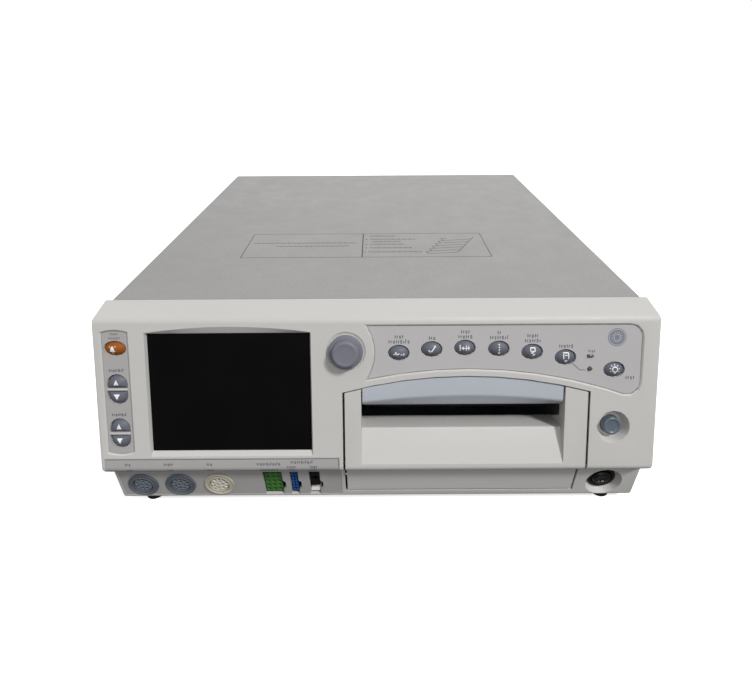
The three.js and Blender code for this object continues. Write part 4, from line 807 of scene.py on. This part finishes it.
def key_cap(name):
    """A domed cap with a soft shoulder, from behind the face to its crown."""
    centre = keys[name][1]
    outline = inset(*keys[name], KEY["slack"])
    shoulder = KEY["proud"] - KEY["round"]
    sections = [[(x, y, z) for x, y in outline] for z in (KEY_FOOT, shoulder)]
    for step in range(1, SHOULDER_STEPS + 1):
        angle = QUARTER * step / SHOULDER_STEPS
        z = shoulder + KEY["round"] * math.sin(angle)
        sections.append([(x, y, z) for x, y in inset(outline, centre, KEY["round"] * (1 - math.cos(angle)))])
    rim = inset(outline, centre, KEY["round"])
    for share in DOME_SHARES:
        sections.append(shrunk(rim, centre, share, dome(share)))
    material = MATERIALS["alarm_amber"] if name == "alarm_key" else KEY_DARK
    loft(f"{name}_cap", sections, material, FACE, body=name, replaces=(name,), slot=slot_of(name))


for key_name in keys:
    key_cap(key_name)


def key_height(name):
    """Height of a key's dome at a point beside its centre."""
    centre = Vector(keys[name][1])
    rim = [Vector(point) - centre for point in inset(*keys[name], KEY["slack"] + KEY["round"])]

    def height(x, y):
        way = Vector((x, y))
        for near, far in zip(rim, [*rim[1:], rim[0]]):
            before, after = way.cross(near), way.cross(far)
            if before <= 0 < after and way.dot(near) > 0:
                reach = near.lerp(far, before / (before - after)).length
                return dome(min(way.length / reach, 1))
        return dome(0)

    return height


# Bands of printed film, with a hole for each key and lamp

LAMP_TOP = 0.5
LAMP_GAP = 0.2
LAMP_SHARES = (0.92, 0.7, 0.4, 0.1)
LAMPS = {
    "bar_lamp": (plate(*BAR_LAMP, 4.2, 2.0, 0.3), BAR_LAMP),
    "dome_lamp": (ring(*DOME_LAMP, 1.5, steps=24), DOME_LAMP),
}
left_level = level("left_keypad_overlay", FACE)
right_level = level("right_keypad_overlay", FACE)


def key_holes(names):
    return [inset(*keys[name], -KEY_GAP) for name in names]


# The left band is cut from the darker film, painted shade
slab("left_band_film", left_band_outline(SEAT), left_level - SKIN, left_level, SHADED_FILM, FACE,
     holes=key_holes(["alarm_key", *volume_sides]), replaces=("left_keypad_overlay",), slot="overlay_film")
slab("right_band_film", right_band_outline(SEAT), right_level - SKIN, right_level, "overlay_film", FACE,
     holes=key_holes(FUNCTION_KEYS) + [inset(*lamp, -LAMP_GAP) for lamp in LAMPS.values()],
     replaces=("right_keypad_overlay",))

for lamp_name, (outline, centre) in LAMPS.items():
    sections = [[(x, y, z) for x, y in outline] for z in (KEY_FOOT, 0.0)]
    for share in LAMP_SHARES:
        sections.append(shrunk(outline, centre, share, LAMP_TOP * math.sqrt(1 - share**2)))
    loft(f"{lamp_name}_lens", sections, "lamp_lens", FACE, replaces=(lamp_name,))

# Signs on the keys, all plain pictograms
SIGN_STROKE = 0.55
SIGN_THIN = SIGN_STROKE * 0.8


def sign(name, draw, scale=1.25):
    made = Print(key_height(name), keys[name][1], scale)
    draw(made)
    made.make(f"{name}_sign", WHITE_INK, FACE, body=name)


def pulse_sign(made):
    pulse = [(-3.4, -0.9), (-2.4, -0.9), (-1.8, 1.0), (-1.0, -1.7), (-0.4, -0.3), (0.4, -0.3)]
    made.stroke(pulse, SIGN_STROKE)
    made.dot(1.5, -0.9, 0.4)
    made.stroke([(2.4, -1.5), (3.4, -0.9), (2.6, -0.2)], SIGN_THIN)


def tick_sign(made):
    made.stroke([(-2.0, -0.3), (-0.6, -1.9), (2.2, 2.2)], SIGN_STROKE * 1.3)


def mark_sign(made):
    made.stroke([(-3.0, -1.9), (-3.0, 1.9)], SIGN_STROKE)
    made.stroke([(-2.0, 0), (2.9, 0)], SIGN_STROKE)
    made.fill([(-2.4, 0), (-0.9, -1.1), (-0.9, 1.1)])
    made.stroke([(0.6, -1.6), (0.6, 1.6)], SIGN_THIN)
    made.stroke([(2.1, -1.3), (2.1, 1.3)], SIGN_THIN)


def column_sign(made):
    for y in (2.6, 1.1, -0.4, -1.9):
        made.dot(0, y, 0.42)
    made.fill([(-1.0, -2.4), (0, -3.5), (1.0, -2.4)])


def sheet_sign(made):
    made.stroke([(-1.3, 2.6), (1.3, 2.6), (1.3, 0.6), (-0.9, -0.4), (1.1, -1.5), (-0.4, -2.7)], SIGN_STROKE)
    made.stroke([(-1.3, 2.6), (-1.3, 0.6), (1.3, 0.6)], SIGN_THIN)


def strip_sign(made):
    made.stroke([(-1.5, -0.9), (-1.5, 2.8), (1.5, 2.8), (1.5, -0.9)], SIGN_STROKE)
    made.stroke([(-0.7, 1.4), (0.7, 1.4)], SIGN_STROKE * 0.7)
    made.fill([(-1.1, -1.7), (0, -3.2), (1.1, -1.7)])


def bulb_sign(made):
    made.stroke(ring(0, 0.3, 1.5, steps=24), SIGN_STROKE, closed=True)
    made.stroke([(-0.7, -1.9), (0.7, -1.9)], SIGN_STROKE)
    for angle in range(-30, 211, 40):
        way = Vector((math.cos(math.radians(angle)), math.sin(math.radians(angle))))
        made.stroke([way * reach + Vector((0, 0.3)) for reach in (2.3, 3.1)], SIGN_THIN)


def bell_sign(made):
    made.fill([(-2.9, -1.9), (1.1, -1.9), (0.3, -0.9), (0.1, 0.7), (-0.9, 1.7), (-1.9, 0.7), (-2.1, -0.9)])
    made.dot(-0.9, -2.6, 0.45)
    for side in (-1, 1):
        made.stroke([(-0.9 + side * 2.0, 0.9), (-0.9 + side * 1.5, 1.7)], SIGN_STROKE * 0.6)


SIGNS = {
    "alarm_key": bell_sign,
    "pressure_key": pulse_sign,
    "test_key": tick_sign,
    "mark_key": mark_sign,
    "reference_key": column_sign,
    "paper_key": sheet_sign,
    "record_key": strip_sign,
    "light_key": bulb_sign,
}
for key_name, draw_sign in SIGNS.items():
    sign(key_name, draw_sign)

ARROW = (1.7, 1.75)
for key_name, side in volume_sides.items():
    tip = side * ARROW[1]
    corners = [(-ARROW[0], -tip), (ARROW[0], -tip), (0, tip)][::side]
    sign(key_name, lambda made: made.fill(corners))

# A pale rib between the halves of each pair of volume keys
RIB = {"width": 15.4, "height": 1.5, "corner": 0.3, "proud": 0.7, "bevel": 0.2}
for place_name, place_s in VOLUME_S.items():
    outline = plate(VOLUME_X, place_s, RIB["width"], RIB["height"], RIB["corner"])
    slab(f"{place_name}_volume_rib", outline, left_level - SKIN, left_level + RIB["proud"], "bezel_plastic",
         FACE, bevel=RIB["bevel"])

# Captions on the bands: over each key, its rows from the top down
CAPTIONS = {
    "pressure_key": (4, 9),
    "test_key": (3,),
    "mark_key": (4, 6),
    "reference_key": (2, 8),
    "paper_key": (5, 7),
    "record_key": (6,),
}
CAPTION_RISE, CAPTION_PITCH, CAPTION_SIZE = 7.3, 3.8, 2.5
captions = Print(right_level)
for key_name, rows in CAPTIONS.items():
    x, y = FUNCTION_KEYS[key_name]
    for row, count in enumerate(reversed(rows)):
        caption_row(captions, x, y + CAPTION_RISE + row * CAPTION_PITCH, count, CAPTION_SIZE)
caption_row(captions, BAR_LAMP[0] + 0.8, BAR_LAMP[1] + 2.6, 4, 1.9, 0.4)
caption_row(captions, 191.4, 70.9, 4, CAPTION_SIZE)
captions.stroke([(147.6, 83.4), (153.3, 78.2), (157.3, 78.2)], 0.45)
captions.make("right_captions", DARK_INK, FACE)

left_captions = Print(left_level)
for y, count in ((107.0, 5), (103.8, 8)):
    caption_row(left_captions, ALARM[0], y, count, 1.6, 0.36)
for place_s in VOLUME_S.values():
    caption_row(left_captions, VOLUME_X, place_s + 13.8, 8, 2.0)
left_captions.make("left_captions", DARK_INK, FACE)

# Plain dial at the band's corner, with a pale rim and ticks
DIAL = {"radius": 6.9, "rim": 6.0, "ticks": 16, "tick_from": 1.8, "tick_to": 4.4}
roundel = Print(right_level)
roundel.fill(ring(*ROUNDEL, DIAL["radius"]))
roundel.make("band_roundel", DIAL_INK, FACE)
dial = Print(right_level + PRINT_LIFT)
dial.stroke(ring(*ROUNDEL, DIAL["rim"]), 0.4, closed=True)
for step in range(DIAL["ticks"]):
    angle = 2 * math.pi * step / DIAL["ticks"]
    way = Vector((math.cos(angle), math.sin(angle)))
    dial.stroke([Vector(ROUNDEL) + way * DIAL[end] for end in ("tick_from", "tick_to")], 0.3)
dial.make("band_roundel_dial", PALE_INK, FACE)


# Trim knob, its satin cap with a dished nose

knob_profile = rounded([
    (0, 8.1), (3.1, 8.1), (3.1, 2.7), (5.2, 2.7), (5.2, 1.1), (12.1, 1.1), (12.9, 1.9), (12.9, 3.9, 0.8),
    (10.5, 4.0, 0.4), (9.8, 10.8, 1.8), (7.6, 10.8, 1.6), (6.2, 10.62, 1.6), (0, 10.58),
])
turned("trim_knob_cap", knob_profile, "key_slate", at(FACE, *KNOB), 96, body="trim_knob",
       replaces=("trim_knob",))

# Recorder visor: a hood whose foot folds in under the arc

VISOR = {"sunk": 1.5, "apex": 58.6, "fall": 5.4, "foot": 49.4, "foot_depth": 8.0, "wall": 3.0, "gap": 1.0}
visor_x0, visor_x1 = MOUTH[0] + VISOR["gap"], MOUTH[1] - VISOR["gap"]


def visor_section(x):
    spread = (x - DOOR_ARCH[0]) / ((visor_x1 - visor_x0) / 2)
    top = arch_at(DOOR_ARCH, x)
    fold = VISOR["apex"] - VISOR["fall"] * spread**2
    sunk, thick = VISOR["sunk"], VISOR["wall"]
    corners = [
        (top, -sunk, 0.8),
        (fold, -sunk, 4.0),
        (VISOR["foot"], -VISOR["foot_depth"], 0.6),
        (VISOR["foot"], -VISOR["foot_depth"] - thick / 2, 0.4),
        (fold + thick / 2, -sunk - thick, 2.0),
        (top, -sunk - thick),
    ]
    return [(x, point.x, point.y) for point in rounded(corners, closed=True, steps=8)]


visor_xs = spaced(visor_x0, visor_x1)
loft("recorder_visor_hood", [visor_section(x) for x in visor_xs], "visor_grey", FACE,
     replaces=("recorder_visor",))

# A black strip behind the gap over the visor: painted shade in the gap
VISOR_GAP_SHADE = {"below": 4.0, "over": 2.4, "low": -6.0, "high": -4.8}
strip_foot = [(x, arch_at(DOOR_ARCH, x) - VISOR_GAP_SHADE["below"]) for x in visor_xs]
strip_top = [(x, arch_at(DOOR_ARCH, x) + VISOR_GAP_SHADE["over"]) for x in reversed(visor_xs)]
slab("visor_gap_shade", strip_foot + strip_top, VISOR_GAP_SHADE["low"], VISOR_GAP_SHADE["high"], "roller_rubber", FACE)

# Black strips in the gaps beside the door: painted shade in the gaps
DOOR_X = (-24.5, 160.3)
DOOR_GAP = 1.7
DOOR_GAP_SHADE = {"slack": 0.1, "low": -2.4, "high": -1.1, "foot": 3.4, "corner": 0.3, "bevel": 0.15}
for side, x in (("left", DOOR_X[0] - DOOR_GAP), ("right", DOOR_X[1])):
    x0, x1 = x + DOOR_GAP_SHADE["slack"], x + DOOR_GAP - DOOR_GAP_SHADE["slack"]
    top = arch_at(DOOR_ARCH, (x0 + x1) / 2)
    slab(f"door_seal_{side}", box(x0, x1, DOOR_GAP_SHADE["foot"], top, DOOR_GAP_SHADE["corner"]), DOOR_GAP_SHADE["low"], DOOR_GAP_SHADE["high"],
         "roller_rubber", FACE, bevel=DOOR_GAP_SHADE["bevel"])

# Release button with a dished top
button_profile = rounded([
    (0, -20.0), (4.0, -20.0), (4.0, -9.9), (8.4, -9.9), (8.4, -8.7), (7.0, -8.7), (7.0, -1.0, 1.2),
    (5.2, -1.0, 0.8), (4.4, -1.6, 1.0), (0, -1.8),
])
turned("release_button_cap", button_profile, BUTTON_BLUE, at(FACE, *BUTTON), 64, body="release_button",
       replaces=("release_button",), slot=slot_of("release_button"))

# Transducer sockets: a flanged shell, an insert with pin holes, pins, and a centre post and bottom in black,
# painted shade behind the holes

PIN_RINGS = ((3, 2.35), (9, 5.5))
PIN = {"hole": 1.3, "radius": 0.28, "top": -0.5}
INSERT = {"radius": 7.3, "back": -1.4, "front": 0.3, "bevel": 0.25}
POST = {"radius": 0.9, "sunk": 0.2, "into": 0.1}
BOTTOM = {"radius": 8.3, "level": -5.2, "thickness": 1.0}
shell_profile = rounded([
    (8.4, -10.0), (10.6, -10.0), (10.6, 0.1), (12.15, 0.1), (12.15, 1.6, 0.6), (10.9, 1.6, 0.3),
    (10.4, 0.9, 0.3), (9.0, 0.9, 0.3), (8.4, 1.4, 0.3), (8.1, 1.4, 0.1), (8.1, -8.0), (8.4, -8.0),
])


def studs(name, places, radius, low, high, material, plane, steps=10):
    """Round-topped pins, all in one mesh."""
    points = []
    faces = []
    for x, y in places:
        rings = []
        for share, z in ((1.0, low), (1.0, high - radius / 2), (0.6, high)):
            rings.append(list(range(len(points), len(points) + steps)))
            points += [(px, py, z) for px, py in ring(x, y, radius * share, steps=steps)]
        faces += [*skin(rings), rings[-1], rings[0][::-1]]
    return piece(name, points, faces, material, plane)


pins = []
for count, radius in PIN_RINGS:
    for step in range(count):
        angle = QUARTER + 2 * math.pi * step / count
        pins.append((radius * math.cos(angle), radius * math.sin(angle)))
pin_holes = [ring(*pin, PIN["hole"], steps=16) for pin in pins]
post_foot, post_top = BOTTOM["level"] - POST["into"], INSERT["back"] + POST["sunk"]
post_profile = [(0, post_foot), (POST["radius"], post_foot), (POST["radius"], post_top), (0, post_top)]
for index, socket_x in enumerate(SOCKET_XS):
    node = f"transducer_socket_{index + 1}"
    slot_name = slot_of(node)
    place = at(CHIN, socket_x, SOCKET_S)
    turned(f"{node}_shell", shell_profile, slot_name, place, 72, replaces=(node,))
    insert_look = INSERT_IVORY if slot_name == "ivory_plastic" else INSERT_GREY
    slab(f"{node}_insert", ring(0, 0, INSERT["radius"]), INSERT["back"], INSERT["front"], insert_look, place,
         holes=pin_holes, bevel=INSERT["bevel"], slot=slot_name)
    turned(f"{node}_post", post_profile, SHADE_BLACK, place, 24, slot=slot_name)
    slab(f"{node}_bottom", ring(0, 0, BOTTOM["radius"]), BOTTOM["level"] - BOTTOM["thickness"],
         BOTTOM["level"], SHADE_BLACK, place)
    studs(f"{node}_pins", pins, PIN["radius"], BOTTOM["level"], PIN["top"], "machined_steel", place)

# Rectangular sockets: contact fields in coloured blocks, each over a black back, painted shade behind the
# holes

SLOT_S = (3.5, 31.5)
SLOT_LEDGE = 2.6
SLOT_FRONT = -1.5
SLOT = {"corner": 0.6, "block": 6, "bevel": 0.25, "back_low": 20, "back_high": 4}
SURROUND = 0.9
SLOTS = {
    # The opening's x, then the contacts: columns, rows and radius
    "scalp_socket": ((-93.0, -77.5), 3, 5, 1.5),
    "oximetry_socket": ((-71.2, -64.5), 2, 7, 0.8),
}
slot_foot, slot_top = SLOT_S[0] + SLOT_LEDGE, SLOT_S[1] - SEAT
for node, ((x0, x1), columns, rows, radius) in SLOTS.items():
    holes = []
    for column in range(columns):
        for row in range(rows):
            x = x0 + SURROUND + (x1 - x0 - 2 * SURROUND) * (column + 0.5) / columns
            y = slot_foot + (slot_top - slot_foot) * (row + 0.5) / rows
            holes.append(ring(x, y, radius, steps=20))
    outline = box(x0 + SURROUND, x1 - SURROUND, slot_foot, slot_top - SURROUND, SLOT["corner"])
    slab(f"{node}_block", outline, SLOT_FRONT - SLOT["block"], SLOT_FRONT, slot_of(node), CHIN, holes=holes,
         bevel=SLOT["bevel"], replaces=(node,))
    slab(f"{node}_back", box(x0 + SEAT, x1 - SEAT, slot_foot, slot_top, SLOT["corner"]),
         SLOT_FRONT - SLOT["back_low"], SLOT_FRONT - SLOT["back_high"], SHADE_BLACK, CHIN)

# The cuff socket fills the upper part of its opening, over a pale sloping floor
low, high = (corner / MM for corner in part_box("cuff_socket"))
x0, x1 = low.x, high.x
CUFF = {"split": 13.0, "length": 20.0, "port_y": 22.0, "port": 2.3, "bevel": 0.3}
CUFF_BACK = {"rim": 0.8, "top_rim": 1.2, "corner": 0.4, "low": 8, "high": 7}
CUFF_FLOOR = {"front": 6, "low": -9.0, "thickness": 2, "gap": 0.2}
port = ring((x0 + x1) / 2, CUFF["port_y"], CUFF["port"], steps=32)
slab("cuff_socket_block", box(x0, x1, CUFF["split"], slot_top, SLOT["corner"]), SLOT_FRONT - CUFF["length"],
     SLOT_FRONT, "black_plastic", CHIN, holes=[port], bevel=CUFF["bevel"], replaces=("cuff_socket",))
# A black back behind the block, painted shade in the opening
rim = CUFF_BACK["rim"]
outline = box(x0 + rim, x1 - rim, CUFF["split"] + rim, SLOT_S[1] - CUFF_BACK["top_rim"], CUFF_BACK["corner"])
slab("cuff_socket_back", outline, SLOT_FRONT - CUFF_BACK["low"], SLOT_FRONT - CUFF_BACK["high"], SHADE_BLACK, CHIN)
floor_top = CUFF["split"] - CUFF_FLOOR["gap"]
floor_section = (
    (slot_foot, SLOT_FRONT - CUFF_FLOOR["front"]),
    (slot_foot, SLOT_FRONT),
    (floor_top, CUFF_FLOOR["low"]),
    (floor_top, CUFF_FLOOR["low"] - CUFF_FLOOR["thickness"]),
)
floor_sections = [[(x, y, z) for y, z in floor_section] for x in (x0, x1)]
loft("cuff_socket_floor", floor_sections, "bezel_plastic", CHIN)

# Power switch: ring, barrel and a saddle-shaped rocker with its two marks

POWER_AT = at(CHIN, *POWER)
switch_profile = rounded([
    (0, -24.2), (9.6, -24.2), (9.6, -5.7), (11.4, -5.7), (11.4, -4.2, 0.7), (8.4, -4.2, 0.4),
    (8.4, -13.2), (0, -13.2),
])
turned("power_switch_ring", switch_profile, "black_plastic", POWER_AT, 72, replaces=("power_switch_body",))
ROCKER_TILT = math.radians(7)
ROCKER_SUNK = 5.7
rocker_plane = at(POWER_AT, 0, 0, -ROCKER_SUNK) @ Matrix.Rotation(ROCKER_TILT, 4, "X")
rocker_profile = rounded([
    (0, -3.0), (6.5, -3.0), (7.75, 0), (7.75, 1.5, 0.8), (6.5, 3.0, 1.2), (4.5, 3.0, 1.0), (0, 2.5),
])
turned("power_rocker_cap", rocker_profile, "black_plastic", rocker_plane, 72, body="power_rocker",
       replaces=("power_rocker",))
rocker_marks = Print(2.95)
rocker_marks.stroke([(-1.6, -3.8), (-1.6, -2.2)], 0.45)
rocker_marks.stroke(ring(1.4, -3.0, 0.8, steps=20), 0.4, closed=True)
rocker_marks.make("power_rocker_marks", WHITE_INK, rocker_plane, body="power_rocker")

# Feet
foot_profile = rounded([
    (0, 0.9), (3.2, 0.9), (3.2, 0.0), (6.6, 0.0, 0.4), (7.6, 1.0, 0.4), (8.2, 7.8, 0.3), (2.6, 7.8),
    (2.6, 12.1), (0, 12.1),
])
for node in ("foot_front_left", "foot_front_right", "foot_rear_left", "foot_rear_right"):
    low, high = (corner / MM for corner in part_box(node))
    place = Matrix.Translation(((low.x + high.x) / 2, (low.y + high.y) / 2, 0))
    turned(f"{node}_pad", foot_profile, "roller_rubber", place, 48, replaces=(node,))

# Screws of the back panel: pan heads, each with its cross recess printed in black, painted shade in place of
# a cut
SCREW_PLACES = ((-196, 22), (196, 22), (-196, 150), (0, 150), (196, 150))
SCREW_TOP, RECESS_REACH = 1.8, 1.3
screw_profile = rounded([(0, 0.0), (3.1, 0.0), (3.1, 1.2, 0.6), (1.6, SCREW_TOP, 0.5), (0, SCREW_TOP)])
for index, (x, y) in enumerate(SCREW_PLACES):
    turned(f"back_screw_{index + 1}", screw_profile, "machined_steel", at(BACK, x, y), 40)
    cross = Print(SCREW_TOP, (x, y))
    cross.stroke([(-RECESS_REACH, 0), (RECESS_REACH, 0)], 0.5)
    cross.stroke([(0, -RECESS_REACH), (0, RECESS_REACH)], 0.5)
    cross.make(f"back_screw_{index + 1}_recess", SHADE_BLACK, BACK)

# Prints on the connector strip and its dark border
LIP_RADIUS, LIP_REACH, STRIP_LEVEL = 5.0, 2.97, -0.2


def lip_height(_, y):
    """The face's height over its plane, where it turns in at the lip."""
    beyond = max(LIP_REACH - y, 0)
    return STRIP_LEVEL - LIP_RADIUS + math.sqrt(LIP_RADIUS**2 - beyond**2)


strip = Print(lip_height)
for x, count in ((-192.5, 3), (-161.0, 5), (-129.5, 3)):
    caption_row(strip, x, 4.2, count, 2.1)
    caption_row(strip, x + 0.6, -0.9, 4, 1.7)
for x, y, count, size in (
    (-84.0, 4.2, 12, 2.1), (-83.6, -0.9, 11, 1.8), (-58.2, 5.6, 11, 2.2), (-66.3, 1.7, 5, 2.0),
    (-66.0, -1.0, 4, 1.7), (-49.2, 1.7, 4, 2.0), (-49.2, -1.0, 4, 1.7),
):
    caption_row(strip, x, y, count, size)
strip.make("strip_captions", DARK_INK, FACE)
border = Print(STRIP_LEVEL)
border.stroke([(-209.2, 9.3), (-29.8, 9.3), (-29.8, 2.6)], 0.4)
border.make("strip_border", DARK_INK, FACE)

# Printed frame on the cover, with plain bars and a fan-folded sheet
FRAME = (-126.4, 108.0, -79.2, -19.2)
DIVIDER = -13.0
BARS = {"size": 2.3, "stroke": 0.6}
# Rows of bars by place and count; a dot may stand before those at the right
LEFT_BARS = ((-70.8, -45, 60), (-62.5, -53, 42))
RIGHT_BARS = (
    (-8, -36, 27, True), (-6, -42, 17, False), (-8, -49, 20, True), (-8, -58, 24, True), (-9, -68, 30, True),
)
FOLDS, FOLD_STEP = 6, (3.6, 6.6)
cover_print = Print()
cover_print.stroke(box(*FRAME), 0.7, closed=True)
cover_print.stroke([(DIVIDER, FRAME[2]), (DIVIDER, FRAME[3])], 1.1)
for x, y, count in LEFT_BARS:
    caption_row(cover_print, x, y, count, **BARS)
caption_row(cover_print, 7, -27, 14, 2.5, 0.7)
for x, y, count, dotted in RIGHT_BARS:
    if dotted:
        cover_print.dot(x - 1.5, y + 1, 0.9)
    caption_row(cover_print, x + count * 0.85 + 2, y, count, **BARS)
for row in range(FOLDS):
    x, y = 50 + row * FOLD_STEP[0], -72 + row * FOLD_STEP[1]
    cover_print.stroke([(x, y), (x + 27, y + 3), (x + 32, y + 9)], 0.7)
    cover_print.stroke([(x, y), (x - 2, y + 4.5), (x + 3.6, y + 6.6)], 0.7)
cover_print.make("cover_print", BLACK_INK, TOP)

# Stage
FLOOR_REACH = 4000.0
corners = box(-FLOOR_REACH, FLOOR_REACH, -FLOOR_REACH, FLOOR_REACH)
floor = piece("floor", [(x, y, 0) for x, y in corners], [[0, 1, 2, 3]], FLOOR)
floor.visible_diffuse = False
floor.visible_glossy = False
